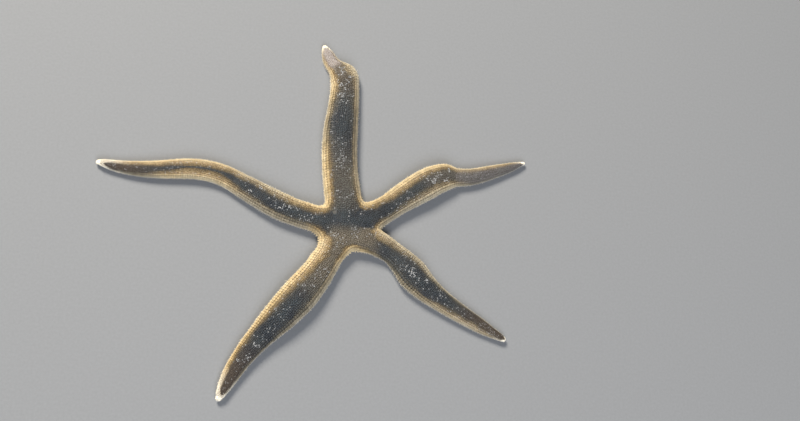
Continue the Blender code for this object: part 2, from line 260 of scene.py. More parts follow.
def section(arm, at, side):
    """(offset, height) points of one side of the skin, and the arc of each, counted up from the edge."""
    half, foot, rise = skin_size(arm.half(at, side), arm.height(at))
    outline = np.vstack([UPPER, LOWER])
    points = np.column_stack([outline[:, 0] * half, foot + outline[:, 1] * rise + arm.lift(at)])
    arc = path_arc(points)
    return points, arc[len(UPPER) - 1] - arc


def on_section(arm, at, side, arc):
    """Points of the skin at arcs from the edge (up is positive), with the outward normals there."""
    points, arcs = section(arm, at, side)
    arc = np.atleast_1d(np.asarray(arc, float))
    offset, height = read(arc, arcs[::-1], points[::-1])
    further = read(arc + 0.15, arcs[::-1], points[::-1])
    run, rise = further[0] - offset, further[1] - height
    size = np.hypot(rise, run) + 1e-9
    left, axis = arm.outward(at, side), arm.place(at)
    place = np.column_stack([axis[0] + left[0] * offset, axis[1] + left[1] * offset, height])
    normal = np.column_stack([left[0] * rise / size, left[1] * rise / size, -run / size])
    return place, normal


# ---------------------------------------------------------------- skin
def placed(name, data):
    """A new object of the scene."""
    thing = bpy.data.objects.new(name, data)
    bpy.context.scene.collection.objects.link(thing)
    return thing


def around(count):
    """Each step of a ring with the step after it."""
    return [(k, (k + 1) % count) for k in range(count)]


def ring(radius, z, steps, middle=CENTRE):
    """A level circle of points."""
    return [(middle[0] + radius * cos(2 * pi * k / steps), middle[1] + radius * sin(2 * pi * k / steps), z)
            for k in range(steps)]


def loft(name, rings, ends=()):
    """A closed form through rings of equal count, both ends flat, or closed to the ends given."""
    count = len(rings[0])
    last = (len(rings) - 1) * count
    if ends:
        first_end = last + count
        faces = [[first_end, k, after] for k, after in around(count)]
        faces += [[first_end + 1, last + after, last + k] for k, after in around(count)]
    else:
        faces = [list(range(count)), [last + k for k in range(count)]]
    for low in range(0, last, count):
        faces += [[low + k, low + after, low + count + after, low + count + k] for k, after in around(count)]
    mesh = bpy.data.meshes.new(name)
    mesh.from_pydata([tuple(p) for ring_points in rings for p in ring_points] + list(ends), [], faces)
    body = bmesh.new()
    body.from_mesh(mesh)
    bmesh.ops.recalc_face_normals(body, faces=body.faces)
    body.to_mesh(mesh)
    body.free()
    return mesh


def arm_body(arm):
    """The flesh of one arm, from the disc's centre to its terminal plate, at skin depth."""
    end = arm.length - PLATE_LENGTH
    rings = []
    for at in np.linspace(0, end, ceil(end) + 1):
        left, right = (section(arm, at, side)[0] for side in SIDES)
        outline = [(x, z) for x, z in left[::-1]] + [(-x, z) for x, z in right[1:-1]]
        rings.append([(*arm.place(at, x), z) for x, z in outline])
    return loft(arm.name, rings)


def disc_body():
    """The round middle of the disc at skin depth."""
    steps = 72
    radius = DISC_RADIUS - EDGE_INSET
    rise = DISC_HEIGHT - TOP_INSET - SOLE_INSET
    profile = [(x, SOLE_INSET + z * rise) for x, z in (*UPPER[1:], *LOWER[:2])] + [(0.5, SOLE_INSET)]
    ends = [(*CENTRE, SOLE_INSET + rise), (*CENTRE, SOLE_INSET + 2.0)]
    return loft("middle", [ring(share * radius, z, steps) for share, z in profile], ends)


def groove_body(arm):
    """What the groove takes out of the disc under one arm."""
    rings = []
    for at in np.linspace(3.0, 30.0, 28):
        half, foot, rise = skin_size(min(arm.half(at, side) for side in SIDES), arm.height(at))
        flank = [(GROOVE_LIP[0] * 1.3 * half, -1.0), (GROOVE_LIP[0] * half, foot),
                 (GROOVE_ROOF[0] * half, foot + GROOVE_ROOF[1] * rise)]
        outline = flank + [(0.0, foot + (GROOVE_ROOF[1] + 0.03) * rise)] + [(-x, z) for x, z in flank[::-1]]
        rings.append([(*arm.place(at, x), z) for x, z in outline])
    return loft(arm.name, rings)


def mouth_body():
    """What the mouth takes out of the disc."""
    lip = MOUTH_RADIUS - 0.2
    return loft("mouth", [ring(radius, z, 48) for radius, z in
                          ((lip, -1.0), (lip, 0.5), (4.3, 1.5), (3.4, 2.2), (1.8, MOUTH_DEPTH))])


def evaluated_mesh(mesh, *modifiers):
    """The mesh after the given modifiers, each a (type, settings) pair."""
    holder = placed("holder", mesh)
    for kind, settings in modifiers:
        modifier = holder.modifiers.new(kind, kind)
        for key, value in settings.items():
            setattr(modifier, key, value)
    bpy.context.view_layer.update()
    result = bpy.data.meshes.new_from_object(holder.evaluated_get(bpy.context.evaluated_depsgraph_get()))
    bpy.data.objects.remove(holder)
    return result


def fused(*bodies):
    """One mesh round all the bodies."""
    merged = bmesh.new()
    for body in bodies:
        merged.from_mesh(body)
    mesh = bpy.data.meshes.new("joined")
    merged.to_mesh(mesh)
    merged.free()
    return evaluated_mesh(mesh, ("REMESH", FUSE))


def vertex_array(mesh, key):
    values = np.empty(len(mesh.vertices) * 3)
    mesh.vertices.foreach_get(key, values)
    return values.reshape(-1, 3)


def relax(mesh, weights, rounds):
    """Evens out a mesh by moving each point towards the mean of its neighbours; gives its points."""
    points = vertex_array(mesh, "co")
    edges = np.empty(len(mesh.edges) * 2, int)
    mesh.edges.foreach_get("vertices", edges)
    a, b = edges.reshape(-1, 2).T
    size = len(points)
    count = np.bincount(a, minlength=size) + np.bincount(b, minlength=size)
    for _ in range(rounds):
        total = np.column_stack([np.bincount(a, points[b, k], size) + np.bincount(b, points[a, k], size)
                                 for k in range(3)])
        points += (total / count[:, None] - points) * np.reshape(weights, (-1, 1))
    mesh.vertices.foreach_set("co", points.ravel())
    mesh.update()
    return vertex_array(mesh, "co")


def arm_field(points):
    """For each point: its arm, the distance along it, the signed share across, how near to the next arm."""
    best, second = np.full((2, len(points)), np.inf)
    owner = np.zeros(len(points), int)
    along, across = np.zeros((2, len(points)))
    for arm, low in product(arms, range(0, len(points), 20000)):
        part = slice(low, low + 20000)
        gap = points[part, None, :2] - arm.axis[None, ::2]
        near = np.argmin((gap**2).sum(2), axis=1) * 2
        rest = points[part, :2] - arm.axis[near]
        offset = (rest * arm.left[near]).sum(1)
        behind = np.maximum(-(rest * arm.ahead[near]).sum(1), 0) * (near == 0)
        share = np.hypot(offset, behind) / np.where(offset > 0, arm.halves[1][near], arm.halves[-1][near])
        better = share < best[part]
        second[part] = np.where(better, best[part], np.minimum(second[part], share))
        index = np.flatnonzero(better) + low
        best[index] = share[better]
        owner[index] = arm.number
        along[index] = (arm.along[near] + np.where(near > 0, (rest * arm.ahead[near]).sum(1), 0))[better]
        across[index] = (np.sign(offset) * share)[better]
    return owner, along, across, np.clip(2 - second / np.maximum(best, 0.05), 0, 1)


# where the corners between arms are evened out: mm from the disc's centre, share across an arm, height
CORNER_REACH, CORNER_SHARE, CORNER_HEIGHT = (19, 15), (0.45, 0.8), 0.6


def make_skin():
    """The fused flesh with mouth and grooves cut, evened out, most of all in the corners between arms."""
    flesh = fused(disc_body(), *(arm_body(arm) for arm in arms))
    cutter = placed("cutter", fused(mouth_body(), *(groove_body(arm) for arm in arms)))
    cut = {"operation": "DIFFERENCE", "object": cutter, "solver": "EXACT"}
    mesh = evaluated_mesh(flesh, ("BOOLEAN", cut), ("REMESH", FUSE))
    bpy.data.objects.remove(cutter)
    points = relax(mesh, 0.5, 6)
    reach = np.hypot(*(points[:, :2] - CENTRE).T)
    across = arm_field(points)[2]
    corner = smooth_step(*CORNER_REACH, reach) * smooth_step(*CORNER_SHARE, np.abs(across))
    return mesh, relax(mesh, 0.6 * corner * (points[:, 2] > CORNER_HEIGHT), 60)


skin_mesh, skin_points = make_skin()
surface = BVHTree.FromPolygons([Vector(p) for p in skin_points],
                               [tuple(face.vertices) for face in skin_mesh.polygons])
upper_arcs = {(arm.name, side): [section(arm, at, side)[1][0] for at in arm.along[::8]]
              for arm in arms for side in SIDES}


def upper_arc(arm, at, side):
    """The arc from the edge up to the ridge."""
    return float(np.interp(at, arm.along[::8], upper_arcs[arm.name, side]))


def snapped(places, normals):
    """Places moved onto the skin, with its normals where these agree with the expected ones."""
    found, facing = [], []
    for place, normal in zip(places, normals):
        spot, lean, _, gap = surface.find_nearest(Vector(place))
        found.append(spot)
        facing.append(lean if lean.dot(Vector(normal)) > 0.2 and gap < 2.5 else Vector(normal))
    return np.array(found), np.array(facing)


def met(x, y, from_above):
    """The skin that a vertical ray meets first: the place, or None, and the normal there."""
    height, way = (ABOVE_ALL, DOWN) if from_above else (BELOW_ALL, UP)
    return surface.ray_cast(Vector((x, y, height)), Vector(way))[:2]


# ---------------------------------------------------------------- where the rows lie
# the root of one piece of the coat
Spot = namedtuple("Spot", "arm at side place normal ahead size")


def row_breadth(arm, at, side):
    return float(np.clip(ROW_SHARE * upper_arc(arm, at, side), *ROW_BREADTH))


def crossing(one, other):
    """Distances along two arms at which their facing edges cross: the notch between them."""
    a = one.axis + one.left * (one.halves[1] - EDGE_INSET)[:, None]
    b = other.axis - other.left * (other.halves[-1] - EDGE_INSET)[:, None]
    keep_a, keep_b = one.along < 30, other.along < 30
    gap = np.hypot(*(a[keep_a][:, None] - b[keep_b][None]).transpose(2, 0, 1))
    gap += 0.02 * (one.along[keep_a][:, None] + other.along[keep_b][None])
    i, j = np.unravel_index(np.argmin(gap), gap.shape)
    return one.along[i], other.along[j]


by_angle = sorted(arms, key=lambda arm: atan2(arm.ahead[0, 1], arm.ahead[0, 0]))
neighbours = list(zip(by_angle, by_angle[1:] + by_angle[:1]))
# where the rows leave the straight side for the corner, from the notch on each arm's left
CORNER_RUN = {"north": 2.0, "east": 2.6, "southeast": 2.6, "southwest": 3.4, "west": 4.6}
CORNER_PULL = 0.55         # how closely the rows follow the corner before they round it
first_column = {}
for one, other in neighbours:
    at_one, at_other = crossing(one, other)
    first_column[one.name, 1] = at_one + CORNER_RUN[one.name]
    first_column[other.name, -1] = at_other + CORNER_RUN[one.name]


def columns(arm, side):
    """Distances along the arm of its columns of plates, tip end last; closer set on the outside of a bend."""
    def edge_place(at):
        return arm.place(at, side * (arm.half(at, side) - 1.5))

    at = first_column[arm.name, side]
    spots = []
    while at < arm.length - PLATE_LENGTH - 0.25:
        spots.append(at)
        stretch = np.linalg.norm(edge_place(at + 0.8) - edge_place(at - 0.8)) / 1.6
        at += PLATE_PITCH * arm.size_factor(at) / float(np.clip(stretch, 0.8, 1.5))
    return spots


column_spots = {(arm.name, side): columns(arm, side) for arm in arms for side in SIDES}


def corner_paths(rows_up):
    """For each notch: its arms, and the path and normals round the corner, in row breadths above the edge."""
    for one, other in neighbours:
        ends = []
        for arm, side in ((one, 1), (other, -1)):
            at = first_column[arm.name, side]
            place, up = on_section(arm, at, side, row_breadth(arm, at, side) * rows_up)
            ends.append((place[0], up[0], -arm.forward(at)))
        (start, start_up, back), (end, end_up, away) = ends
        # where the two straight rows would meet, seen from above
        turn = np.linalg.solve(np.column_stack([back[:2], -away[:2]]), (end - start)[:2])
        corner = (start + back * turn[0] + end + away * turn[1]) / 2
        corner[2] = (start[2] + end[2]) / 2
        t = np.linspace(0, 1, 60)[:, None]
        path = ((1 - t)**3 * start + 3 * t * (1 - t)**2 * (start + (corner - start) * CORNER_PULL)
                + 3 * t**2 * (1 - t) * (end + (corner - end) * CORNER_PULL) + t**3 * end)
        # the disc's own edge keeps the path from cutting across it
        at = first_column[one.name, 1]
        inner = np.linalg.norm(start[:2] - one.place(at, one.half(at, 1) - EDGE_INSET))
        least = DISC_RADIUS - EDGE_INSET - inner
        reach = np.hypot(*(path[:, :2] - CENTRE).T)
        rounded = np.maximum(reach, least + np.maximum(reach - least + 1, 0)**2 / 4)
        wanted = np.where(reach < least + 1, rounded, reach)
        path[:, :2] = CENTRE + (path[:, :2] - CENTRE) * (wanted / reach)[:, None]
        yield one, other, path, start_up * (1 - t) + end_up * t


lateral, marginal, central = [], [], []


def add_rows():
    """The lateral rows and the marginal plates, along both sides of every arm and round the corners."""
    for arm, side in product(arms, SIDES):
        for at in column_spots[arm.name, side]:
            breadth, factor, ahead = row_breadth(arm, at, side), arm.size_factor(at), arm.forward(at)
            size = (PLATE_PITCH * factor * PLATE_FILL, breadth * PLATE_FILL)
            for place, normal in zip(*snapped(*on_section(arm, at, side, breadth * ROW_MIDDLES))):
                lateral.append(Spot(arm, at, side, place, normal, ahead, size))
            place, normal = snapped(*on_section(arm, at, side, 0.0))
            marginal.append(Spot(arm, at, side, place[0], normal[0], ahead, factor))
    for rows_up in ROW_MIDDLES:
        for corner in corner_paths(rows_up):
            fill_corner(lateral, *corner)
    for corner in corner_paths(0.0):
        fill_corner(marginal, *corner)


def fill_corner(spots, one, other, path, up):
    """Plates at equal steps round a corner, the path's ends left to the arms' columns."""
    path, up = snapped(path, up)
    arc = path_arc(path)
    count = max(2, round(arc[-1] / PLATE_PITCH))
    at_one, at_other = first_column[one.name, 1], first_column[other.name, -1]
    size = one.size_factor(at_one)
    if spots is lateral:
        size = (arc[-1] / count * PLATE_FILL, row_breadth(one, at_one, 1) * PLATE_FILL)
    for k in range(1, count):
        s = arc[-1] * k / count
        arm, side, at = (one, 1, at_one - s) if k < count / 2 else (other, -1, at_other - (arc[-1] - s))
        back = read(s - 0.2, arc, path) - read(s + 0.2, arc, path)
        spots.append(Spot(arm, at, side, read(s, arc, path), read(s, arc, up), back * side, size))


add_rows()
# places close together along the body's edge near the disc, on the plan
INNER_EDGE = np.vstack([on_section(arm, at, side, 0.0)[0] for arm, side in product(arms, SIDES)
                        for at in np.arange(first_column[arm.name, side], 36, 0.5)]
                       + [path for _, _, path, _ in corner_paths(0.0)])[:, :2]


# ---------------------------------------------------------------- templates of coat pieces
def solid(rings, top=None):
    """Triangles of a closed form through rings of equal count: its base flat, its end flat or a point."""
    count = len(rings[0])
    points = [tuple(p) for circle in rings for p in circle]
    last = len(points) - count
    faces = []
    for low in range(0, last, count):
        high = low + count
        for k, after in around(count):
            faces += [(low + k, low + after, high + after), (low + k, high + after, high + k)]
    if top is None:
        faces += [(last, last + k, last + k + 1) for k in range(1, count - 1)]
    else:
        faces += [(last + k, last + after, len(points)) for k, after in around(count)]
        points.append(tuple(top))
    faces += [(0, k + 1, k) for k in range(1, count - 1)]
    return np.array(points, float), np.array(faces, int)


def loop(radius_x, radius_y, z, count, squareness=2.0, turn=0.0):
    """A ring of points: an ellipse, or with more squareness a rounded rectangle."""
    points = []
    for k in range(count):
        angle = 2 * pi * (k + 0.5) / count + turn
        c, s = cos(angle), sin(angle)
        reach = (abs(c) ** squareness + abs(s) ** squareness) ** (-1 / squareness)
        points.append((radius_x * reach * c, radius_y * reach * s, z))
    return points


# the nearness to a tip darkens the low parts of the coat in its material: painted shade
class Template:
    """Small forms joined, z out of the skin. Each is points, triangles, and nearness of points to a tip."""

    def __init__(self, *parts):
        starts = np.cumsum([0] + [len(points) for points, _, _ in parts])
        self.points = np.vstack([points for points, _, _ in parts])
        self.faces = np.vstack([faces + start for (_, faces, _), start in zip(parts, starts)])
        self.tips = np.concatenate([tips for _, _, tips in parts])


def tip_levels(count, *levels):
    """The tips of a form whose rings of a count of points each have one level, and whose end has the last."""
    return np.append(np.repeat(levels[:-1], count), levels[-1])


def granule(root, lean, length, thick, sides=3):
    """A blunt spinelet from a root, leaning along a direction."""
    root, lean = Vector(root), Vector(lean).normalized()
    across = lean.orthogonal().normalized()
    other = lean.cross(across)
    angles = [2 * pi * k / sides for k in range(sides)]
    ways = [across * cos(angle) + other * sin(angle) for angle in angles]
    rings = [[root + lean * (length * reach) + way * (thick / 2 * share) for way in ways]
             for reach, share in ((-0.15, 0.85), (0.62, 1.0))]
    return *solid(rings, top=root + lean * length), tip_levels(sides, 0.35, 0.9, 1.0)


def lateral_paxilla(seed):
    """A squarish table, 1 x 1 across, crowned with upright granules and edged with leaning ones."""
    rand = np.random.default_rng(seed)
    rings = [loop(breadth, breadth, z, 8, 3.0) for breadth, z in ((0.40, -0.45), (0.44, 0.34), (0.30, 0.43))]
    parts = [(*solid(rings, top=(0, 0, 0.46)), tip_levels(8, 0.0, 0.3, 0.4, 0.4))]
    edging = 11
    for k in range(edging):
        angle = 2 * pi * (k + rand.uniform(-0.2, 0.2)) / edging
        c, s = cos(angle), sin(angle)
        reach = (c ** 4 + s ** 4) ** (-1 / 4) * 0.37
        parts.append(granule((c * reach, s * reach, 0.30), (c * 0.65, s * 0.65, 1.0),
                             rand.uniform(0.22, 0.29), 0.19))
    for x, y in ((0, 0), (0.19, 0.12), (-0.17, 0.16), (0.15, -0.18), (-0.18, -0.14)):
        jitter = rand.uniform(-0.03, 0.03, 2)
        root = (x + jitter[0], y + jitter[1], 0.40)
        parts.append(granule(root, (x * 0.5, y * 0.5, 1.0), rand.uniform(0.19, 0.25), 0.20))
    return Template(*parts)


def central_paxilla(seed):
    """A small round table, 1 across, with a ring of leaning spinelets and one in the middle."""
    rand = np.random.default_rng(seed)
    rings = [loop(0.36, 0.36, z, 6) for z in (-0.35, 0.24)]
    parts = [(*solid(rings, top=(0, 0, 0.31)), tip_levels(6, 0.0, 0.3, 0.4))]
    edging = 5
    turn = rand.uniform(0, 1)
    for k in range(edging):
        angle = 2 * pi * (k + turn + rand.uniform(-0.15, 0.15)) / edging
        c, s = cos(angle), sin(angle)
        length = rand.uniform(0.20, 0.28)
        points, faces = solid([loop(0.095, 0.095, -0.03, 4, turn=angle)],
                              top=(c * 0.75 * length, s * 0.75 * length, length))
        parts.append((points + (c * 0.27, s * 0.27, 0.20), faces, tip_levels(4, 0.35, 1.0)))
    root = (rand.uniform(-0.05, 0.05), rand.uniform(-0.05, 0.05), 0.26)
    return Template(*parts, granule(root, UP, 0.19, 0.21))


def spine(length, breadth, thick, bend, sides=5, levels=4):
    """A flattened tapering spine along +Z from its root, which is sunk, bent towards +X."""
    rings = []
    for t in np.arange(levels) / levels:
        swell = (1 - t**2.2) * (0.8 + 0.9 * t * (1 - t)) / 2
        z = -SPINE_ROOT + t * (length + SPINE_ROOT)
        x = bend * t**2 * length
        rings.append([(x + breadth * swell * cos(angle), thick * swell * sin(angle), z)
                      for angle in (2 * pi * k / sides for k in range(sides))])
    tips = tip_levels(sides, *(np.arange(levels + 1) / levels))
    return Template((*solid(rings, top=(bend * length, 0, length)), tips))


def low_scale(seed):
    """A low pointed granule of the bare places below."""
    rand = np.random.default_rng(seed)
    rings = [loop(0.46, 0.42, -0.2, 5, turn=rand.uniform(0, 6)), loop(0.36, 0.33, 0.16, 5)]
    return Template((*solid(rings, top=(rand.uniform(-0.08, 0.08), 0, 0.42)), tip_levels(5, 0.1, 0.5, 1.0)))


SPINE_ROOT = 0.25
FRINGE = [spine(length, 0.42, 0.20, bend) for length, bend in ((1.45, 0.05), (1.6, -0.06), (1.3, 0.10))]
LONG_SPINE = spine(2.4, 0.34, 0.22, 0.08)
SCALES = [spine(0.52, 0.34, 0.16, bend, 4, 2) for bend in (0.0, 0.12)]
FURROW = spine(1.0, 0.30, 0.18, 0.25, 4, 3)
MINOR = spine(1.15, 0.30, 0.18, -0.10, 4, 3)
ORAL_SPINE = spine(1.25, 0.34, 0.24, 0.12, 6, 4)
GRAIN = Template(granule((0, 0, 0), UP, 0.24, 0.22, 5))
FOOT_LENGTH = 1.4
FOOT_RINGS = ((-0.3, 0.34), (0.0, 0.36), (0.3, 0.27), (0.6, 0.24), (0.95, 0.20), (1.2, 0.12))
FOOT = Template((*solid([loop(r, r, z, 6) for z, r in FOOT_RINGS], top=(0, 0, FOOT_LENGTH)),
                 tip_levels(6, *np.linspace(0, 0.85, len(FOOT_RINGS)), 1.0)))


# ---------------------------------------------------------------- planting
def turned(along, normal):
    """Frames with x along a direction, z out of the skin, y across, as columns of matrices."""
    z = normal / np.linalg.norm(normal, axis=1)[:, None]
    x = along - z * (along * z).sum(1)[:, None]
    x /= np.linalg.norm(x, axis=1)[:, None]
    return np.stack([x, np.cross(z, x), z], axis=2)


def spin(frames, about_z, about_x, about_y):
    """Frames turned about their own axes by an angle each."""
    for angle, (a, b) in ((about_z, (0, 1)), (about_x, (1, 2)), (about_y, (2, 0))):
        c, s = np.cos(angle)[:, None], np.sin(angle)[:, None]
        first, second = frames[:, :, a].copy(), frames[:, :, b].copy()
        frames[:, :, a] = first * c + second * s
        frames[:, :, b] = second * c - first * s
    return frames


def map_place(arm_length, along, across):
    """Roots in the map: the way along an arm and the share across it."""
    u = np.clip(along / arm_length, 0, 1) * 0.98 + 0.01
    return np.column_stack(np.broadcast_arrays(np.atleast_1d(u), 0.5 + np.clip(across, -1.2, 1.2) * 0.4))


class Coat:
    """Gathers many small forms and joins them into one mesh with marks and a map for each tuft."""

    MARKS = ("band", "seed", "tip", "pale", "brown", "ash", "new", "gild_and_side_shade", "white")

    def __init__(self, name, slot, material):
        self.name, self.slot, self.material = name, slot, material
        self.points, self.faces, self.marks, self.map = [], [], [], []
        self.count = 0

    def put(self, points, faces, tips, marks, spots=None):
        """A form in its own place: its marks are values or one for each point, its spots are in the map."""
        self.points.append(points)
        self.faces.append(faces + self.count)
        self.count += len(points)
        table = np.zeros((len(points), len(self.MARKS)))
        for number, key in enumerate(self.MARKS):
            table[:, number] = tips if key == "tip" else marks.get(key, 0.0)
        self.marks.append(table)
        if spots is None:
            spots = 0.02 + 0.9 * (points[:, :2] - points.min(0)[:2]) / np.ptp(points, axis=0).max()
        self.map.append(spots)

    def plant(self, template, places, frames, scales, marks, roots):
        """Copies of one template. Marks are values for all or for each copy; roots are places in the map."""
        count, size = len(places), len(template.points)
        local = template.points[None] * np.broadcast_to(scales, (count, 3))[:, None]
        points = np.einsum("nij,nkj->nki", frames, local) + places[:, None]
        faces = template.faces[None] + (np.arange(count) * size)[:, None, None]
        spread = template.points[:, :2] / np.abs(template.points[:, :2]).max() * (PATCH / 2)
        each = {key: np.repeat(np.broadcast_to(value, count), size) for key, value in marks.items()}
        self.put(points.reshape(-1, 3), faces.reshape(-1, 3), np.tile(template.tips, count), each,
                 (roots[:, None] + spread[None]).reshape(-1, 2))

    def plant_one(self, template, place, ahead, aim, marks, scales, root):
        """One copy that points along its aim."""
        self.plant(template, np.array(place)[None], turned(ahead[None], unit(aim)[None]), scales, marks, root)

    def sweep(self, path, normals, ahead, half, rise, marks, roots):
        """A low rounded bar along a path on the skin."""
        outline = ((1, -0.3), (0.92, 0.45), (0.5, 1.0), (-0.5, 1.0), (-0.92, 0.45), (-1, -0.3))
        rings = []
        for share, place, normal in zip(np.linspace(-1, 1, len(path)), path, normals):
            ease = half * (1 - 0.45 * abs(share) ** 5)
            rings.append([place + ahead * (ease * x) + normal * (rise * z) for x, z in outline])
        spread = np.tile([(x * PATCH / 2, z * PATCH / 2) for x, z in outline], (len(path), 1))
        # the low tip marks at the bar's foot darken it there in the material: painted shade where it meets
        # the skin
        self.put(*solid(rings), np.tile([0.0, 0.2, 0.45, 0.45, 0.2, 0.0], len(path)), marks,
                 np.repeat(roots, len(outline), axis=0) + spread)

    def make(self):
        points = np.vstack(self.points)
        points[:, 2] = np.maximum(points[:, 2], 0.0)
        faces = np.vstack(self.faces)
        mesh = bpy.data.meshes.new(self.name)
        mesh.vertices.add(len(points))
        mesh.vertices.foreach_set("co", (points * MM).ravel())
        mesh.loops.add(faces.size)
        mesh.loops.foreach_set("vertex_index", faces.ravel())
        mesh.polygons.add(len(faces))
        mesh.polygons.foreach_set("loop_start", np.arange(0, faces.size, 3))
        mesh.polygons.foreach_set("use_smooth", np.ones(len(faces), bool))
        mesh.update(calc_edges=True)
        for key, values in zip(self.MARKS, np.vstack(self.marks).T):
            mesh.attributes.new(key, "FLOAT", "POINT").data.foreach_set("value", np.ascontiguousarray(values))
        places = np.clip(np.vstack(self.map), 0.0, 1.0)[faces.ravel()]
        mesh.uv_layers.new(name="OFBake").data.foreach_set("uv", places.ravel())
        return add_piece(self.name, mesh, self.material, self.slot)


def coats(kind, slot, material):
    return {arm.name: Coat(f"{kind}_{arm.name}", slot, material) for arm in arms}


def add_piece(name, mesh, material, slot):
    mesh.validate()
    mesh.materials.append(material)
    piece = placed(name, mesh)
    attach(piece, "root")
    return piece


# ---------------------------------------------------------------- central paxillae
class Crowd:
    """Centres already taken, in a grid, with the room each one needs."""

    CELL = 1.6

    def __init__(self, taken):
        self.cells = {}
        for place, room in taken:
            self.take(place, room)

    def key(self, place):
        return tuple(int(c // self.CELL) for c in place)

    def take(self, place, room):
        self.cells.setdefault(self.key(place), []).append((*place, room))

    def taken_if_free(self, place, room):
        """Takes a place and is true if there is room for it."""
        a, b, c = self.key(place)
        x, y, z = place
        for i, j, k in product((a - 1, a, a + 1), (b - 1, b, b + 1), (c - 1, c, c + 1)):
            for p, q, r, other in self.cells.get((i, j, k), ()):
                if (p - x)**2 + (q - y)**2 + (r - z)**2 < (room + other)**2:
                    return False
        self.take(place, room)
        return True


crowd = Crowd((spot.place, LATERAL_ROOM * (spot.size[0] + spot.size[1]) / 2) for spot in lateral)
quads = [tuple(face.vertices) for face in skin_mesh.polygons if len(face.vertices) == 4]
quads = skin_points[np.array(quads)]
quad_middles = quads.mean(1)
quad_normals = np.cross(quads[:, 1] - quads[:, 0], quads[:, 3] - quads[:, 0])
quad_normals /= np.linalg.norm(quad_normals, axis=1)[:, None]


CENTRAL_START = 2.2        # how far along the arms the rows begin
OWN_REACH = 24             # up to here along an arm its rows keep to its own part of the disc
LEAST_FACING = 0.30        # how far up the skin has to face to bear central paxillae


def add_central():
    """Paxillae over the back of every arm, in rows that loosen towards the edge."""
    for arm in arms:
        at = CENTRAL_START
        while at < arm.length - PLATE_LENGTH - 0.2:
            pitch = CENTRAL_PITCH * arm.size_factor(at)
            for side in SIDES:
                total = upper_arc(arm, at, side)
                for number in range(0 if side > 0 else 1, 40):
                    arc = number * pitch
                    if arc > total:
                        break
                    loose = pitch * (0.32 - 0.24 * arc / total)
                    shift = rng.uniform(-loose, loose, 2)
                    (x, y, _), = on_section(arm, at + shift[0], side, total - arc + shift[1])[0]
                    spot, lean = met(x, y, True)
                    if spot is None or lean.z < LEAST_FACING:
                        continue
                    if at < OWN_REACH and arm_field(np.array([spot]))[0][0] != arm.number:
                        continue
                    size = pitch * rng.uniform(0.82, 1.04)
                    if crowd.taken_if_free(spot, CENTRAL_ROOM * size):
                        central.append(Spot(arm, at, side, np.array(spot), np.array(lean), arm.forward(at),
                                            (size, size)))
            at += pitch


def add_fill():
    """Small paxillae in the gaps that the rows leave, mostly on the disc and at the corners."""
    picks = rng.permutation(np.flatnonzero((quad_normals[:, 2] > 0.25) & (quad_middles[:, 2] > 1.2)))
    owner, along, _, _ = arm_field(quad_middles[picks])
    for pick, who, at in zip(picks, owner, along):
        arm = arms[who]
        if at > arm.length - PLATE_LENGTH - 0.4:
            continue
        place = quad_middles[pick] + rng.uniform(-0.1, 0.1, 3) * (1, 1, 0)
        for size in np.array((0.80, 0.62)) * arm.size_factor(at):
            if crowd.taken_if_free(place, FILL_ROOM * size):
                central.append(Spot(arm, at, 1, place, quad_normals[pick], arm.forward(at), (size, size)))
                break


add_central()
add_fill()


# ---------------------------------------------------------------- marks that skin and coat share
# where the dark stripe ends on either side of each arm: (distance along it, share of the half breadth)
STRIPES = {
    "north": {1: [(0, 0.42), (20, 0.44), (36, 0.54), (50, 0.66), (60, 0.58), (70, 0.42), (75, 0.26),
                  (84, 0.34), (94, 0.45)],
              -1: [(0, 0.46), (20, 0.50), (36, 0.62), (50, 0.64), (65, 0.52), (77, 0.22), (84, 0.45),
                   (94, 0.50)]},
    "east": {1: [(0, 0.46), (18, 0.34), (30, 0.30), (54, 0.34), (62, 0.26), (72, 0.20), (97, 0.12)],
             -1: [(0, 0.52), (12, 0.55), (22, 0.46), (34, 0.36), (50, 0.26), (60, 0.42), (70, 0.72),
                  (97, 0.74)]},
    "southeast": {1: [(0, 0.24), (10, 0.16), (20, 0.12), (30, 0.32), (45, 0.50), (55, 0.64), (70, 0.68),
                      (90, 0.60)],
                  -1: [(0, 0.46), (12, 0.66), (25, 0.80), (35, 0.76), (50, 0.54), (60, 0.34), (75, 0.18),
                       (90, 0.35)]},
    "southwest": {1: [(0, 0.42), (14, 0.48), (30, 0.61), (44, 0.66), (65, 0.73), (84, 0.62), (96, 0.50)],
                  -1: [(0, 0.10), (10, 0.06), (25, 0.18), (40, 0.40), (65, 0.50), (80, 0.42), (87, 0.28),
                       (96, 0.20)]},
    "west": {1: [(0, 0.46), (20, 0.64), (35, 0.54), (50, 0.38), (62, 0.12), (75, 0.04), (86, 0.26),
                 (100, 0.60), (117, 0.50)],
             -1: [(0, 0.46), (15, 0.30), (30, 0.22), (44, 0.30), (52, 0.24), (62, 0.16), (75, 0.06),
                  (86, 0.14), (117, 0.16)]},
}
# paler patches in the stripe: arm, distance along it, share across to its left, radius
FLECKS = (
    ("southwest", 68, 0.20, 1.2), ("southwest", 74, 0.30, 1.4), ("southwest", 78, -0.15, 0.9),
    ("southwest", 58, 0.05, 0.9), ("west", 27, 0.05, 1.2), ("west", 31, 0.25, 0.9), ("west", 43, -0.45, 1.1),
    ("west", 46, 0.20, 1.0), ("east", 46, 0.15, 1.0), ("east", 49, -0.15, 1.2), ("east", 53, 0.20, 1.2),
    ("east", 55, -0.30, 1.2), ("east", 58, 0.35, 1.1),
    ("southeast", 38, -0.15, 1.9), ("southeast", 45, 0.25, 0.9),
    ("north", 62, -0.10, 1.0), ("north", 65, 0.25, 1.2), ("north", 68, -0.05, 1.4), ("north", 71, 0.30, 1.2),
    ("north", 73, -0.35, 1.3), ("north", 77, -0.05, 1.5), ("north", 80, -0.50, 1.3), ("north", 17, 0.30, 0.6),
)
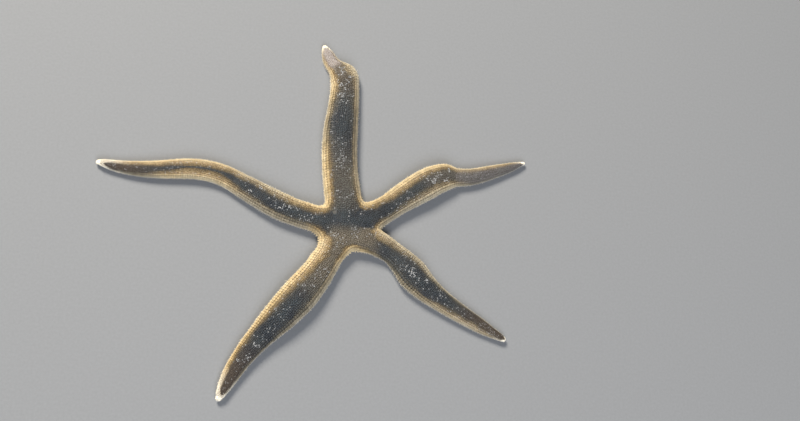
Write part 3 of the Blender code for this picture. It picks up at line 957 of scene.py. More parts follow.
# how far from each arm's end the stripe stops, and how long the rounding there is
STRIPE_STOP = {"north": (2.2, 3.0), "east": (1.7, 3.5), "southeast": (1.0, 2.5), "southwest": (3.0, 3.0),
               "west": (3.9, 4.0)}
# how far from each end the bands start to turn white
WHITE_END = {"north": 6.0, "east": 8.0, "southeast": 8.0, "southwest": 17.0, "west": 17.0}
NOTCH_STRIPE = 0.40        # where the stripe ends in the corners between arms, whatever it does along them
NOTCH_HALF = 7.8           # the breadth that share is of there
# how golden and how bright the pale bands are, from dull cream to gold, along either side of each arm: partly
# the bands' own colour, partly painted light and shade, lower where a side faces away from the key light
GILD_AND_SIDE_SHADE = {
    "north": {1: [(0, 1.0), (34, 0.85), (46, 0.35), (56, 0.35), (68, 0.75), (95, 0.8)],
              -1: [(0, 0.7), (30, 0.3), (95, 0.35)]},
    "east": {1: [(0, 1.0), (40, 0.8), (58, 0.75), (66, 0.35), (80, 0.6), (97, 0.6)],
             -1: [(0, 0.7), (20, 0.2), (40, 0.3), (58, 0.45), (68, 0.15), (97, 0.1)]},
    "southeast": {1: [(0, 0.8), (24, 0.3), (40, 0.12), (90, 0.08)],
                  -1: [(0, 0.9), (18, 0.3), (32, 0.12), (48, 0.35), (60, 0.4), (90, 0.25)]},
    "southwest": {1: [(0, 0.9), (20, 0.35), (40, 0.15), (76, 0.12), (84, 0.4), (96, 0.4)],
                  -1: [(0, 1.0), (60, 0.9), (78, 1.0), (96, 1.0)]},
    "west": {1: [(0, 0.8), (18, 0.2), (46, 0.22), (58, 0.75), (84, 0.8), (96, 0.2), (117, 0.2)],
             -1: [(0, 1.0), (24, 0.75), (36, 0.3), (48, 0.3), (60, 0.7), (84, 0.8), (117, 0.65)]},
}
# how far the stripe is ash-grey along each arm
ASH = {
    "north": [(0, 0.2), (10, 0.35), (24, 0.5), (36, 0.25), (48, 0.0), (58, 0.05), (68, 0.35), (80, 0.6),
              (95, 0.4)],
    "east": [(0, 0.0), (40, 0.05), (50, 0.45), (59, 0.5), (66, 0.1), (97, 0.1)],
    "southeast": [(0, 1.0), (12, 0.9), (21, 0.05), (90, 0.0)],
    "southwest": [(0, 1.0), (26, 0.75), (44, 0.0), (96, 0.0)],
    "west": [(0, 0.0), (117, 0.0)],
}


# distances from the disc's centre between which an arm's own marks turn into the disc's
DISC_GOLD = (20, 12)       # the bands become golden
DISC_BAND = (19, 14)       # they stay golden up to the edge
DISC_STRIPE = (4.5, 9.5)   # the stripes run together, back to front
DISC_ASH = (5, 11)         # the ash-grey is the disc's own, back to front
NOTCH_BREADTH = (24, 14)   # the half breadth becomes that of the corners
NOTCH_END = (24, 17)       # so does the end of the stripe
EDGE_COUNTED = (32, 22)    # shares are counted from the body's edge
DISC_GILD = 0.9            # how golden the disc's bands are
RIM_SHARE = 0.97           # further across, a share is left as it is
CHUNK = 4000               # points measured at once


# partly painted light and shade: each side's value from the table, turning into the disc's near it
def gild_and_side_shade_at(arm, at, side, reach):
    gild_and_side_shade = eased(GILD_AND_SIDE_SHADE[arm.name][side], at)
    return gild_and_side_shade + (DISC_GILD - gild_and_side_shade) * smooth_step(*DISC_GOLD, reach)


def white_at(arm, at):
    reach = WHITE_END[arm.name]
    return smooth_step(reach, 0.25 * reach, arm.length - at)


def edge_share(points, share, side, owner, along, reach):
    """The share across an arm, near the disc counted from the body's edge, so bands go round the corners."""
    share = share.copy()
    near = np.flatnonzero(reach < EDGE_COUNTED[0])
    half = np.empty(len(near))
    for arm, sign in product(arms, SIDES):
        mine = (owner[near] == arm.number) & (side[near] == sign)
        half[mine] = arm.half(along[near][mine], sign)
    half += (NOTCH_HALF - half) * smooth_step(*NOTCH_BREADTH, reach[near])
    gap = np.empty(len(near))
    for low in range(0, len(near), CHUNK):
        apart = points[near[low:low + CHUNK], None, :2] - INNER_EDGE[None]
        gap[low:low + CHUNK] = np.sqrt((apart**2).sum(2).min(1))
    counted = np.maximum(1 - (gap + EDGE_INSET) / half, 0.0)
    blend = smooth_step(*EDGE_COUNTED, reach[near]) * (share[near] <= RIM_SHARE)
    share[near] += (counted - share[near]) * blend
    return share


def stripe_band(arm, signed, along, ends):
    """0 in the middle of the stripe, 0.5 at its edge and round its end, 1 at the body's edge."""
    middle, half = (ends[1] - ends[-1]) / 2, (ends[1] + ends[-1]) / 2
    off = np.abs(signed - middle)
    beyond = np.where(signed > middle, 1 - ends[1], 1 - ends[-1])
    stop, rounding = STRIPE_STOP[arm.name]
    close = np.maximum(1 - (arm.length - along - stop) / rounding, 0)
    inside = np.hypot(off / half, close)
    outside = np.maximum((off - half) / beyond, (inside - 1) * np.minimum(close, 1) * 2)
    return 0.5 * np.where(inside < 1, inside, 1 + np.maximum(outside, 0))


def markings(points, below=False):
    """For places on the body: its arm, how far along, its marks, how far across it is."""
    owner, along, across, between = arm_field(points)
    reach = np.hypot(*(points[:, :2] - CENTRE).T)
    side = np.where(across > 0, 1, -1)
    signed = side * edge_share(points, np.abs(across), side, owner, along, reach)
    corner = smooth_step(0.2, 0.95, between) * smooth_step(*NOTCH_END, reach)
    band, ash, gild_and_side_shade, white = np.zeros((4, len(points)))
    for arm in arms:
        mine = owner == arm.number
        ends = {}
        for sign in SIDES:
            end = eased(STRIPES[arm.name][sign], along[mine])
            ends[sign] = end + (NOTCH_STRIPE - end) * corner[mine]
            one = mine & (side == sign)
            gild_and_side_shade[one] = gild_and_side_shade_at(arm, along[one], sign, reach[one])
        band[mine] = stripe_band(arm, signed[mine], along[mine], ends)
        ash[mine] = eased(ASH[arm.name], along[mine])
        white[mine] = white_at(arm, along[mine])
    band = np.minimum(band, BAND_TOP - 0.26 * smooth_step(*DISC_BAND, reach))
    band *= smooth_step(*DISC_STRIPE, reach)
    east = owner == arms[1].number
    regrown = np.array([arm.regrown for arm in arms])[owner]
    new = smooth_step(-2.0, 2.0, along - regrown) * np.where(east, 0.25, 1.0)
    new[regrown >= lengths[owner]] = 0
    brown = smooth_step(34, 12, lengths[owner] - along) * (1 - new) * ~east
    southward = smooth_step(2.5, -4.5, points[:, 1] - CENTRE[1])
    ash = ash * smooth_step(*DISC_ASH, reach) + southward * smooth_step(*DISC_ASH[::-1], reach)
    band = np.where(below, BELOW, band)
    marks = {"band": band, "brown": brown, "ash": ash, "new": new, "gild_and_side_shade": gild_and_side_shade, "white": white}
    return owner, along, marks, across


# ---------------------------------------------------------------- materials
def srgb(r, g, b):
    """A colour as Blender wants it, from parts of 255; no part here is near black."""
    return (*(((c / 255 + 0.055) / 1.055) ** 2.4 for c in (r, g, b)), 1.0)


class Nodes:
    """A short way to write a material's nodes."""

    def __init__(self, name):
        self.material = bpy.data.materials.new(name)
        self.material.use_nodes = True
        self.tree = self.material.node_tree
        self.shader = self.tree.nodes["Principled BSDF"]

    def node(self, kind, inputs, **settings):
        node = self.tree.nodes.new(kind)
        for key, value in settings.items():
            setattr(node, key, value)
        for key, value in inputs.items():
            self.link(value, node.inputs[key])
        return node

    def link(self, value, socket):
        if isinstance(value, bpy.types.NodeSocket):
            self.tree.links.new(value, socket)
        else:
            socket.default_value = value

    def mark(self, name):
        return self.node("ShaderNodeAttribute", {}, attribute_name=name).outputs["Fac"]

    def math(self, operation, a, b):
        return self.node("ShaderNodeMath", {0: a, 1: b}, operation=operation).outputs[0]

    def noise(self, scale, detail=2.0, roughness=0.5):
        place = self.node("ShaderNodeTexCoord", {}).outputs["Object"]
        return self.node("ShaderNodeTexNoise", {"Vector": place, "Scale": scale, "Detail": detail,
                                                "Roughness": roughness}).outputs["Fac"]

    def span(self, value, low, high, to_low=0.0, to_high=1.0):
        given = dict(enumerate((value, low, high, to_low, to_high)))
        return self.node("ShaderNodeMapRange", given).outputs[0]

    def grain(self, low, high, scale, detail=2.0, roughness=0.5):
        """A noise that mostly fills the way from low to high."""
        return self.span(self.noise(scale, detail, roughness), 0.3, 0.7, low, high)

    def ramp(self, value, stops):
        node = self.node("ShaderNodeValToRGB", {"Fac": value})
        elements = node.color_ramp.elements
        while len(elements) < len(stops):
            elements.new(0.5)
        for element, (at, colour) in zip(elements, stops):
            element.position = at
            element.color = srgb(*colour)
        return node.outputs["Color"]

    def mix(self, fac, a, b, blend="MIX"):
        return self.node("ShaderNodeMix", {0: fac, 6: a, 7: b}, data_type="RGBA", blend_type=blend).outputs[2]

    def times(self, colour, other):
        return self.mix(1.0, colour, other, "MULTIPLY")

    def finish(self, colour, roughness, bump_scale, bump_detail, strength, distance):
        """Gives the shader its colour, roughness and fine bump."""
        bump = self.node("ShaderNodeBump", {"Strength": strength, "Distance": distance,
                                            "Height": self.noise(bump_scale, bump_detail)})
        for value, key in ((colour, "Base Color"), (roughness, "Roughness"), (bump.outputs[0], "Normal")):
            self.link(value, self.shader.inputs[key])
        return self.material


# the band's two ramps: GOLD for the gold bands and the sides painted as lit, CREAM, duller and darker, for
# the dull bands and the sides painted as in shade
GOLD = (
    (0.00, (72, 81, 88)), (0.24, (75, 80, 83)), (0.33, (94, 91, 83)), (0.41, (122, 107, 80)),
    (0.49, (160, 139, 99)), (0.57, (202, 178, 132)), (0.65, (231, 209, 165)),
    (0.74, (238, 223, 186)), (0.82, (231, 220, 195)), (1.0, (216, 208, 192)),
)
CREAM = (
    (0.00, (72, 81, 88)), (0.24, (75, 80, 83)), (0.33, (91, 93, 91)), (0.41, (104, 102, 93)),
    (0.49, (134, 128, 113)), (0.57, (164, 157, 140)), (0.65, (184, 177, 160)),
    (0.74, (193, 187, 171)), (0.82, (194, 189, 176)), (1.0, (204, 199, 187)),
)
BAND_TO_RAMP = 0.8         # so that the ramps reach beyond the body's edge, where the band is 1


def marked_material(name, coat):
    """The animal's markings: a charcoal stripe, brown then gold bands beside it, and a cream edge; with
    painted shade towards the roots of the coat's pieces and on the skin between them, and painted light and
    shade in how golden and bright each side is.
    """
    n = Nodes(name)
    band = n.math("ADD", n.mark("band"), n.grain(-0.035, 0.035, 520, 3))
    band = n.math("ADD", band, n.grain(-0.05, 0.05, 170))
    at = n.math("MULTIPLY", band, BAND_TO_RAMP)
    # painted light and shade, partly: the GOLD ramp is lighter than the CREAM one, so sides marked as lit
    # come out lighter and more golden
    colour = n.mix(n.mark("gild_and_side_shade"), n.ramp(at, CREAM), n.ramp(at, GOLD))
    middle = n.span(band, 0.60, 0.42)
    deep = n.math("MULTIPLY", middle, n.span(n.noise(110), 0.42, 0.66, 0.0, 0.85))
    colour = n.mix(deep, colour, srgb(54, 61, 71))
    for mark, reach, share, tone in (("brown", middle, 0.80, (98, 86, 74)),
                                     ("ash", middle, 0.90, (138, 130, 114)),
                                     ("new", n.span(band, 0.78, 0.50), 0.90, (206, 198, 194)),
                                     ("white", n.span(band, 0.50, 0.66), 1.0, (250, 244, 228))):
        cover = n.math("MULTIPLY", n.mark(mark), n.math("MULTIPLY", reach, share))
        colour = n.mix(cover, colour, srgb(*tone))
    colour = n.mix(n.mark("pale"), colour, srgb(196, 198, 200))
    colour = n.times(colour, n.grain(0.80, 1.16, 2600, 3, 0.6))
    if coat:
        colour = n.times(colour, n.span(n.mark("seed"), 0.0, 1.0, 0.84, 1.10))
        # painted shade: each piece is darkened towards its root, down to half, where the gaps between tables
        # and granules lie in shade
        colour = n.times(colour, n.span(n.mark("tip"), 0.0, 0.6, 0.50, 1.0))
    else:
        # partly painted shade: the skin seen in the gaps between the paxillae is darkened
        colour = n.times(colour, srgb(*SKIN_TONE_AND_GAP_SHADE))
    n.shader.inputs["Specular IOR Level"].default_value = 0.35
    return n.finish(colour, n.grain(0.42, 0.62, 900), 7000, 2, 0.35, 0.00006)


def foot_material():
    n = Nodes("tube_feet")
    colour = n.ramp(n.mark("tip"), ((0.0, (150, 112, 84)), (0.5, (206, 172, 132)), (1.0, (238, 222, 196))))
    return n.finish(n.times(colour, n.grain(0.85, 1.1, 3000, 3)), 0.38, 5000, 2, 0.4, 0.00005)


def ossicle_material(name, pale, dark, scale):
    """Chalky plate: pale on what stands out, darker and stained between."""
    n = Nodes(name)
    stain = n.math("MULTIPLY", n.span(n.noise(scale, 4, 0.6), 0.35, 0.68), 0.7)
    colour = n.mix(stain, srgb(*pale), srgb(*dark))
    colour = n.mix(n.span(n.mark("tip"), 0.45, 0.0, 0.0, 0.8), colour, srgb(*dark))
    colour = n.times(colour, n.grain(0.85, 1.1, scale * 5, 3))
    return n.finish(colour, n.grain(0.45, 0.68, scale * 2), 6000, 3, 0.5, 0.00007)


# ---------------------------------------------------------------- making the skin and its paxillae
SKIN_TONE_AND_GAP_SHADE = (172, 163, 156)           # what the skin between the paxillae is darkened by: partly its own darker tone, partly painted shade in the gaps
BELOW_SLOPE, BELOW_HEIGHT = -0.2, 0.9   # where the skin counts as its underside


def finish_skin():
    """Marks the skin, and lets it stand for the disc and all pieces of the arms."""
    facing_down = vertex_array(skin_mesh, "normal")[:, 2] < BELOW_SLOPE
    below = facing_down | (skin_points[:, 2] < BELOW_HEIGHT)
    marks = markings(skin_points, below)[2]
    marks["pale"] = np.zeros(len(skin_points))
    for key, values in marks.items():
        skin_mesh.attributes.new(key, "FLOAT", "POINT").data.foreach_set("value", values)
    skin_mesh.vertices.foreach_set("co", (skin_points * MM).ravel())
    skin_mesh.polygons.foreach_set("use_smooth", np.ones(len(skin_mesh.polygons), bool))
    skin_mesh.update()
    piece = add_piece("skin", skin_mesh, marked_material("skin", False), "arm")
    parts = product(arms, ("root", "middle", "tip"))
    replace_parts(piece, "disc", *(f"arm_{arm.name}_{part}" for arm, part in parts))


SINGLE_PALE, FLECK_PALE = (0.05, 0.55), (0.35, 0.95)    # how pale the single pale paxillae and the flecks are
FLECK_EDGE = (0.5, 1.35)   # the radii that a fleck's ragged edge lies between, as shares of its own
FLECK_SHARE = 0.7          # how many of a fleck's paxillae are pale


def add_paxillae(kind, spots, templates, scales, pale_share, tilt):
    """Plants the paxillae of all arms with their markings, some of them pale, mostly in groups."""
    made = coats(kind, "paxillae", paxilla_material)
    _, _, _, *wanted, _ = zip(*spots)
    places, normals, ahead = (np.array(values) for values in wanted)
    owner, along, marks, across = markings(places)
    count = len(places)
    cluster = np.array([noise.noise(Vector(place) * 0.16) for place in places])
    chance = pale_share * (0.4 + 2.4 * smooth_step(-0.05, 0.45, cluster))
    pale = np.where(rng.random(count) < chance, rng.uniform(*SINGLE_PALE, count), 0.0)
    marks["seed"] = rng.random(count)
    for name, at, share, wide in FLECKS:
        arm = next(arm for arm in arms if arm.name == name)
        middle = arm.place(at, share * arm.half(at, 1))
        near = np.hypot(*(places[:, :2] - middle).T) < wide * rng.uniform(*FLECK_EDGE, count)
        near &= rng.random(count) < FLECK_SHARE
        pale = np.where(near, np.maximum(pale, rng.uniform(*FLECK_PALE, count)), pale)
    marks["pale"] = pale
    roots = map_place(lengths[owner], along, across)
    frames = spin(turned(ahead, normals), *(rng.normal(0, tilt, count) for _ in range(3)))
    variant = rng.integers(0, len(templates), count)
    for arm, (which, template) in product(arms, enumerate(templates)):
        chosen = (owner == arm.number) & (variant == which)
        made[arm.name].plant(template, places[chosen], frames[chosen], scales[chosen],
                             {key: value[chosen] for key, value in marks.items()}, roots[chosen])
    return list(made.values())


finish_skin()
paxilla_material = marked_material("paxillae", True)
paxillae = []
for kind, spots, templates, breadth, height, pale_share, tilt in (
        ("lateral_paxillae", lateral, [lateral_paxilla(seed) for seed in range(4)], 1.05, 0.85, 0.0, 0.05),
        ("central_paxillae", central, [central_paxilla(seed) for seed in range(5)], 1.28, 1.08, 0.13, 0.12)):
    sizes = np.array([spot.size for spot in spots])
    scales = np.column_stack([sizes * breadth, sizes.mean(1) * height])
    paxillae += add_paxillae(kind, spots, templates, scales, pale_share, tilt)
for coat in paxillae:
    coat.make()


# ---------------------------------------------------------------- the edge and the underside
spine_material = marked_material("spines", True)
rib_coats = coats("marginal_plates", "spines", spine_material)
fringe_coats = coats("marginal_spines", "spines", spine_material)
groove_coats = coats("groove_spines", "spines", spine_material)


EDGE_DROP, EDGE_DROP_REACH = 0.16, (19, 13)     # how far the band falls near the disc, and from where


def marks_for(place, arm, at, side, band):
    """The marks of one form of the edge or the underside."""
    reach = np.hypot(*(np.asarray(place)[:2] - CENTRE))
    return {"band": band - EDGE_DROP * smooth_step(*EDGE_DROP_REACH, reach),
            "gild_and_side_shade": gild_and_side_shade_at(arm, at, side, reach), "white": white_at(arm, at), "seed": rng.random(1)}


# rise over a marginal plate's middle and shift along it, for each spine of its series
FRINGE_SERIES = ((0.95, 0.30), (0.62, -0.28), (0.25, 0.30), (-0.12, -0.28), (-0.5, 0.28), (-0.9, -0.26))
LONG_SHARE = 0.02          # how many of the spines inside a series are long ones
OUTER_SIZE = 0.86          # of the first and last spine of a series


def add_fringe():
    """Flattened spines in short upright series on the marginal plates, their points outward."""
    for arm, at, side, place, normal, ahead, factor in marginal:
        lift = np.cross(normal, ahead)
        lift *= np.sign(lift[2])
        near_end = smooth_step(arm.length - 3, arm.length - 9, at)
        outward = unit(normal * (1, 1, 0))
        for number, (rise, shift) in enumerate(FRINGE_SERIES):
            shift = (shift + rng.uniform(-0.08, 0.08)) * PLATE_PITCH * factor
            spot, facing = snapped([place + lift * rise * factor + ahead * shift], [normal])
            aim = (outward * 0.60 + facing[0] * 0.28 + ahead * rng.uniform(0.50, 0.92)
                   + UP * (0.30 * rise + rng.uniform(-0.06, 0.06)))
            big = OUTER_SIZE if number in (0, 5) else 1.0
            long = rng.random() < LONG_SHARE and 1 < number < 5 and near_end > 0.9
            template = LONG_SPINE if long else FRINGE[rng.integers(0, len(FRINGE))]
            size = factor * big * rng.uniform(0.82, 0.98) * (0.75 + 0.25 * near_end)
            marks = marks_for(spot[0], arm, at, side, 0.98 + 0.05 * number)
            fringe_coats[arm.name].plant_one(template, spot[0], ahead, aim, marks, size,
                                             map_place(arm.length, at + shift, side * (1.0 + 0.02 * number)))


def rib_path(arm, at, side):
    """The path of a marginal plate on the skin: from just over the edge to beside the groove."""
    if at >= first_column[arm.name, side] - 0.5 * PLATE_PITCH:
        inner = section(arm, at, side)[1][len(UPPER) + 2]
        return snapped(*on_section(arm, at, side, np.linspace(0.15, inner, 7)))
    # under the disc it ends where the next arm begins
    half = arm.half(at, side) - EDGE_INSET
    axis, left = arm.place(at), arm.outward(at, side)

    def across(offsets, height):
        return np.column_stack([axis[0] + left[0] * offsets, axis[1] + left[1] * offsets,
                                np.full(len(offsets), height)])

    offsets = np.linspace(0.44, 0.97, 22) * half
    mine = arm_field(across(offsets, 0.4))[0] == arm.number
    last = len(mine) if mine.all() else int(np.argmin(mine))
    if last < 5:
        return None
    offsets = np.linspace(offsets[last - 1] - 0.25, offsets[0], 5)
    return snapped(across(offsets, SOLE_INSET), np.tile(DOWN, (5, 1)))


def rib_spots(arm, side):
    """Distances along the arm of its marginal plates, from beside the mouth to the tip."""
    inner = []
    at = first_column[arm.name, side] - PLATE_PITCH
    while at > MOUTH_RADIUS + 0.7:
        inner.append(at)
        at -= PLATE_PITCH
    return inner[::-1] + column_spots[arm.name, side]


RIB_HALF, RIB_RISE = 0.43, 0.16        # a marginal plate's half breadth in pitches, and its height
UNDER_BAND = 1.15          # the band of the marginal plates and low scales
SCALE_PITCH = 0.62
rib_places = []            # along both edges of every marginal plate


def add_underside():
    """Marginal plates under the edge, set with scales, and spines beside the groove."""
    for arm, side in product(arms, SIDES):
        for at in rib_spots(arm, side):
            factor, ahead = arm.size_factor(at), arm.forward(at)
            path = rib_path(arm, at, side)
            if path is not None:
                places, normals = path
                number = np.arange(len(places))
                line = read(np.linspace(0, number[-1], 16), number, places).T
                for shift in (-0.25, 0.25):
                    rib_places.extend(line + ahead * shift * PLATE_PITCH * factor)
                shares = side * np.linspace(1.0, 0.5, len(places))
                rib_coats[arm.name].sweep(places, normals, ahead, RIB_HALF * PLATE_PITCH * factor, RIB_RISE,
                                          {"band": UNDER_BAND, "gild_and_side_shade": 0.5, "seed": rng.random()},
                                          map_place(arm.length, at, shares))
                add_scales(arm, at, side, places, normals, ahead, factor)
            add_groove_spines(arm, at, side, ahead, factor)


def add_scales(arm, at, side, places, normals, ahead, factor):
    """Flat scales in two rows along a marginal plate."""
    arc = path_arc(places)
    count = max(3, int(arc[-1] / (SCALE_PITCH * factor)))
    for number, share in enumerate((np.arange(count) + 0.5) / count):
        s = arc[-1] * share
        normal = unit(read(s, arc, normals))
        outward = unit(read(s - 0.3, arc, places) - read(s + 0.3, arc, places))
        for shift in (-0.22, 0.22):
            root = (read(s, arc, places) + normal * 0.12
                    + ahead * (shift + rng.uniform(-0.04, 0.04)) * PLATE_PITCH * factor)
            aim = outward + normal * rng.uniform(0.15, 0.35) + ahead * rng.uniform(-0.15, 0.25)
            marks = marks_for(root, arm, at, side, BELOW)
            rib_coats[arm.name].plant_one(SCALES[number % 2], root, ahead, aim, marks,
                                          factor * rng.uniform(0.85, 1.1),
                                          map_place(arm.length, at + shift, side * (1.0 - 0.5 * share)))


# the groove's spines: share across the arm, template, lean outward, lean upward, shifts along the arm
GROOVE_SPINES = ((0.25, FURROW, -1.0, -0.55, (-0.2, 0.2)), (0.31, MINOR, 0.9, -0.1, (0.0,)),
                 (0.40, MINOR, 1.0, -0.05, (0.0,)))


def add_groove_spines(arm, at, side, ahead, factor):
    """One spine over the groove and two laid outward beside it."""
    half, outward = arm.half(at, side) - EDGE_INSET, arm.outward(at, side)
    for share, template, sway, rise, shifts in GROOVE_SPINES:
        for shift in shifts:
            place = arm.place(at, side * share * half) + ahead[:2] * shift * PLATE_PITCH * factor
            spot, _ = met(*place, False)
            if spot is None:
                continue
            aim = outward * sway + UP * rise + ahead * rng.uniform(-0.1, 0.3)
            marks = marks_for(spot, arm, at, side, BELOW)
            groove_coats[arm.name].plant_one(template, spot, ahead, aim, marks,
                                             factor * rng.uniform(0.8, 1.0),
                                             map_place(arm.length, at + shift, side * share))


LOW_SCALE_SIZE = (0.50, 0.72)
ASKEW = (0.31, 0.52, 0.79)             # a direction along no axis, so that nothing lines up


def add_low_scales():
    """Granules over the skin below wherever the marginal plates leave it bare."""
    made = coats("low_scales", "spines", spine_material)
    owner, along, across, _ = arm_field(quad_middles)
    lower = (quad_normals[:, 2] < -0.1) & (quad_middles[:, 2] < 2.2) & (np.abs(across) > 0.14)
    ground = Crowd((place, RIB_ROOM) for place in rib_places)
    picks, places, sizes = [], [], []
    for pick in rng.permutation(np.flatnonzero(lower)):
        arm = arms[owner[pick]]
        size = rng.uniform(*LOW_SCALE_SIZE) * arm.size_factor(along[pick])
        place = quad_middles[pick] + np.append(rng.uniform(-0.16, 0.16, 2), 0)
        if along[pick] < arm.length - PLATE_LENGTH and ground.taken_if_free(place, LOW_SCALE_ROOM * size):
            picks.append(pick)
            places.append(place)
            sizes.append([size * 1.08])
    places, sizes = np.array(places), np.array(sizes)
    owner = owner[picks]
    frames = turned(np.tile(ASKEW, (len(picks), 1)), quad_normals[picks])
    roots = map_place(lengths[owner], along[picks], across[picks])
    templates = [low_scale(seed) for seed in range(3)]
    variant = rng.integers(0, len(templates), len(picks))
    for arm in arms:
        for which, template in enumerate(templates):
            mine = (owner == arm.number) & (variant == which)
            made[arm.name].plant(template, places[mine], frames[mine], sizes[mine],
                                 {"band": UNDER_BAND, "gild_and_side_shade": 0.4, "seed": rng.random(mine.sum())},
                                 roots[mine])
        made[arm.name].make()


FOOT_SHARE = 0.115         # how far from the axis the tube feet stand, as a share of the half breadth
FOOT_ROOM = 0.5            # how high the groove has to be for them, where they have their full size


def add_tube_feet():
    """Two rows of pointed tube feet in each groove, drawn in as on a resting animal."""
    for name, coat in coats("tube_feet", "tube_feet", foot_material()).items():
        arm = next(arm for arm in arms if arm.name == name)
        for side in SIDES:
            at = MOUTH_RADIUS + 0.4
            while at < arm.length - PLATE_LENGTH - 1.0:
                factor = arm.size_factor(at)
                ahead, outward = arm.forward(at), arm.outward(at, side)
                spot, _ = met(*arm.place(at, side * FOOT_SHARE * (arm.half(at, side) - EDGE_INSET)), False)
                if spot is not None and spot.z > FOOT_ROOM * factor:
                    aim = DOWN + outward * rng.uniform(-0.05, 0.3) + ahead * rng.uniform(-0.25, 0.3)
                    length = min(factor, (spot.z - 0.12) / FOOT_LENGTH) * rng.uniform(0.85, 1.0)
                    coat.plant_one(FOOT, spot, ahead, aim, marks_for(spot, arm, at, side, BELOW),
                                   (factor, factor, length), map_place(arm.length, at, side * 0.12))
                at += PLATE_PITCH * factor
        coat.make()


# ---------------------------------------------------------------- terminal plates, jaws and madreporite
def body_tree(points, faces):
    return BVHTree.FromPolygons([Vector(p) for p in points], [tuple(f) for f in faces])


def cap_form(arm, start):
    """A terminal plate's smooth cap over the arm's end, with a furrow below, and the nearness of its tips."""
    count = 28
    rings, tips = [], []
    for share in np.sin(np.linspace(0, pi / 2 * 0.93, 9)):
        at = start - 0.5 + share * (PLATE_LENGTH + 0.3)
        draw = sqrt(1 - (share * 0.96) ** 2)
        rise = 0.31 * arm.height(start) * draw
        circle = []
        for angle in (2 * pi * k / count for k in range(count)):
            side = 1 if cos(angle) > 0 else -1
            x = 0.62 * arm.half(start, side) * draw * side * abs(cos(angle)) ** 0.85
            furrow = 0.35 * rise if sin(angle) <= -0.8 else 0.0
            circle.append((*arm.place(at, x), arm.lift(at) + 0.14 + rise + rise * sin(angle) + furrow))
            # painted shade: the cap's underside gets a low tip mark, which darkens it in the material
            tips.append(0.6 if sin(angle) > -0.7 else 0.1)
        rings.append(circle)
    return *solid(rings), np.array(tips)


GRAIN_TRIES, GRAIN_GAP = 500, 0.20     # granules tried on a terminal plate, and the least gap between two


def add_terminal_plate(arm, material):
    """The arm's end: the cap, beset with granules."""
    coat = Coat(f"terminal_cap_{arm.name}", "terminal_plate", material)
    start = arm.length - PLATE_LENGTH
    points, faces, tips = cap_form(arm, start)
    below = points[:, 2] < np.median(points[:, 2]) - 0.35
    coat.put(points, faces, tips, {"seed": 0.5, **markings(points, below)[2]})
    body, middle = body_tree(points, faces), points.mean(0)
    taken = []
    for _ in range(GRAIN_TRIES):
        way = unit(rng.normal(0, 1, 3))
        spot, facing, _, _ = body.ray_cast(Vector(middle + way * 5), Vector(-way))
        if spot is None or facing.z < -0.4 or any((spot - other).length < GRAIN_GAP for other in taken):
            continue
        taken.append(spot)
        aim = unit(np.array(facing) + (arm.forward(start) + UP * 0.2) * 0.4)
        size = rng.uniform(0.7, 1.0)
        marks = markings(np.array(spot)[None], facing.z < -0.2)[2]
        coat.plant_one(GRAIN, spot, np.array((0.3, 0.5, 0.81)), aim, {"seed": rng.random(), **marks}, size,
                       map_place(arm.length, start, 0.0))
    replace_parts(coat.make(), f"terminal_plate_{arm.name}")


def sieve_form():
    """The madreporite: a low button cut by branching furrows that run out to its rim."""
    low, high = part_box("madreporite")
    middle, radius, top = (low + high) / 2 / MM, (high.x - low.x) / 2 / MM - 0.04, high.z / MM
    steps, circles = 84, 16
    rings = [ring(radius, top - 1.1, steps, middle)]
    for share in 1 - np.arange(circles) / circles:
        furrows = 14 if share > 0.55 else 7
        depth = 0.13 * smooth_step(0.08, 0.3, share)
        circle = []
        for k, (x, y, _) in enumerate(ring(radius * share, top, steps, middle)):
            angle = 2 * pi * k / steps
            wave = cos(furrows * angle + 1.3 * sin(3 * angle) + 2.0 * share)
            circle.append((x, y, top - 0.13 - 0.42 * share**4 - depth * max(wave, -0.2)))
        rings.append(circle)
    return solid(rings, top=(middle.x, middle.y, top - 0.12))


JAW_VOXEL = 0.16
UNEVEN, UNEVEN_PITCH = 0.07, 2.2       # how far the jaws are uneven, and the noise's steps per mm


def softened(node):
    """A hard node's own form, rounded and made slightly uneven."""
    source = bpy.data.objects[node]
    mesh = source.data.copy()
    mesh.transform(source.matrix_world)
    mesh.transform(Matrix.Scale(1 / MM, 4))
    made = evaluated_mesh(mesh, ("REMESH", {"mode": "VOXEL", "voxel_size": JAW_VOXEL}))
    points = relax(made, 0.5, 3)
    for point in points:
        point += np.array(noise.noise_vector(Vector(point * UNEVEN_PITCH))) * UNEVEN
    made.vertices.foreach_set("co", points.ravel())
    made.calc_loop_triangles()
    return points, np.array([tuple(t.vertices) for t in made.loop_triangles])


# where a jaw's oral spines stand: towards the mouth from its middle, across it, and how far they lean across
ORAL_PLACES = ((1.5, 0.0, 0.0), (1.1, 0.45, 0.4), (1.1, -0.45, -0.4), (0.4, 0.75, 0.9), (0.4, -0.75, -0.9),
               (-0.3, 1.0, 1.1), (-0.3, -1.0, -1.1), (-0.9, 0.0, 0.0), (-0.9, 0.7, 0.5), (-0.9, -0.7, -0.5),
               (0.0, 0.0, 0.0))


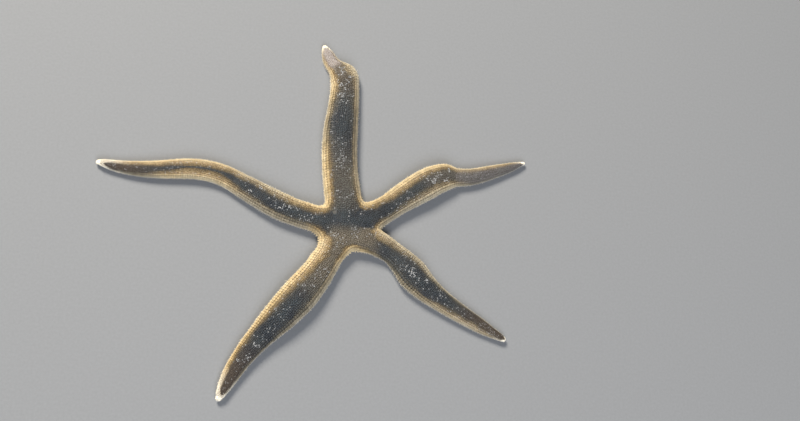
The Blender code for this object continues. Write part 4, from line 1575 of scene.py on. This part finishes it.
def add_jaw(name, material):
    """A jaw, its own form rounded, with spines on its underside that point to the mouth."""
    coat = Coat(f"{name}_plate", "jaw", material)
    points, faces = softened(name)
    lowest = points[:, 2] < points[:, 2].min() + 0.5
    coat.put(points, faces, 0.25 + 0.5 * lowest, {"band": 1.0, "seed": 0.5})
    body, middle = body_tree(points, faces), points.mean(0)
    inward = unit(np.append(CENTRE - middle[:2], 0))
    across = np.array([-inward[1], inward[0], 0])
    for out, side, sway in ORAL_PLACES:
        x, y, _ = middle + inward * out + across * side
        spot, _, _, _ = body.ray_cast(Vector((x, y, BELOW_ALL)), Vector(UP))
        if spot is None:
            continue
        aim = inward * (0.9 if out > 0.9 else 0.25) + across * sway + DOWN * 0.35
        size = rng.uniform(0.75, 0.95)
        coat.plant_one(ORAL_SPINE, spot, np.array((0.1, 0.2, 0.97)), aim,
                       {"band": BELOW, "seed": rng.random()}, size,
                       map_place(arms[0].length, 2.0, 0.3 * side))
    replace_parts(coat.make(), name)


def add_hard_pieces():
    """The pieces that stand for single nodes of the solids."""
    end_material = marked_material("terminal_plate", True)
    for arm in arms:
        add_terminal_plate(arm, end_material)
    sieve = Coat("madreporite_sieve", "madreporite",
                 ossicle_material("madreporite", (99, 98, 94), (62, 62, 61), 900))
    points, faces = sieve_form()
    sieve.put(points, faces, 0.5, {"band": 1.0, "seed": 0.5})
    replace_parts(sieve.make(), "madreporite")
    jaw_material = ossicle_material("jaw", (214, 190, 148), (150, 112, 76), 800)
    for number in range(1, 6):
        add_jaw(f"jaw_{number}", jaw_material)


add_fringe()
add_underside()
add_low_scales()
add_tube_feet()
add_hard_pieces()
for coat in (*fringe_coats.values(), *rib_coats.values(), *groove_coats.values()):
    coat.make()


# ---------------------------------------------------------------- floor, light and camera
FLOOR_HALF = 3.0           # metres
CAMERA_AIM = (0.0265, 0.0114, 0.0)     # metres from the disc's centre on the floor
CAMERA_REACH = 0.51916     # metres


def add_floor():
    n = Nodes("floor")
    n.link(n.times(srgb(128, 131, 135), n.grain(0.96, 1.03, 900, 4)), n.shader.inputs["Base Color"])
    n.link(0.9, n.shader.inputs["Roughness"])
    mesh = bpy.data.meshes.new("floor")
    corners = [(x * FLOOR_HALF, y * FLOOR_HALF, 0) for x, y in ((-1, -1), (1, -1), (1, 1), (-1, 1))]
    mesh.from_pydata(corners, [], [(0, 1, 2, 3)])
    mesh.materials.append(n.material)
    placed("floor", mesh)


def add_light(name, place, size, power, colour):
    """A round lamp aimed at the middle of the floor."""
    lamp = bpy.data.lights.new(name, "AREA")
    lamp.shape = "DISK"
    lamp.size = size
    lamp.energy = power
    lamp.color = colour
    holder = placed(name, lamp)
    holder.location = place
    holder.rotation_euler = (-Vector(place)).to_track_quat("-Z", "Y").to_euler()


def add_camera():
    ahead = Vector((0.1985, 0.3177, -0.9272)).normalized()
    right = Vector((0.9779, 0.0, 0.2093)).normalized()
    up = right.cross(ahead)
    lens = bpy.data.cameras.new("camera")
    lens.lens = 50
    lens.sensor_width = 36
    lens.clip_start = 0.01
    holder = placed("camera", lens)
    aim = Vector((*(CENTRE * MM), 0)) + Vector(CAMERA_AIM)
    turn = Matrix((right, up, -ahead)).transposed().to_4x4()
    holder.matrix_world = Matrix.Translation(aim - ahead * CAMERA_REACH) @ turn
    bpy.context.scene.camera = holder


add_floor()
add_light("key", (-0.54, 1.00, 0.86), 0.5, 41.0, (1.0, 0.92, 0.80))
add_light("fill", (0.10, -1.05, 0.85), 0.9, 17.0, (0.95, 0.96, 1.0))
world = bpy.data.worlds.new("world")
world.use_nodes = True
background = world.node_tree.nodes["Background"]
background.inputs["Color"].default_value = (0.84, 0.91, 1.0, 1)
background.inputs["Strength"].default_value = 0.17
bpy.context.scene.world = world
add_camera()
bpy.context.scene.view_settings.view_transform = "Standard"
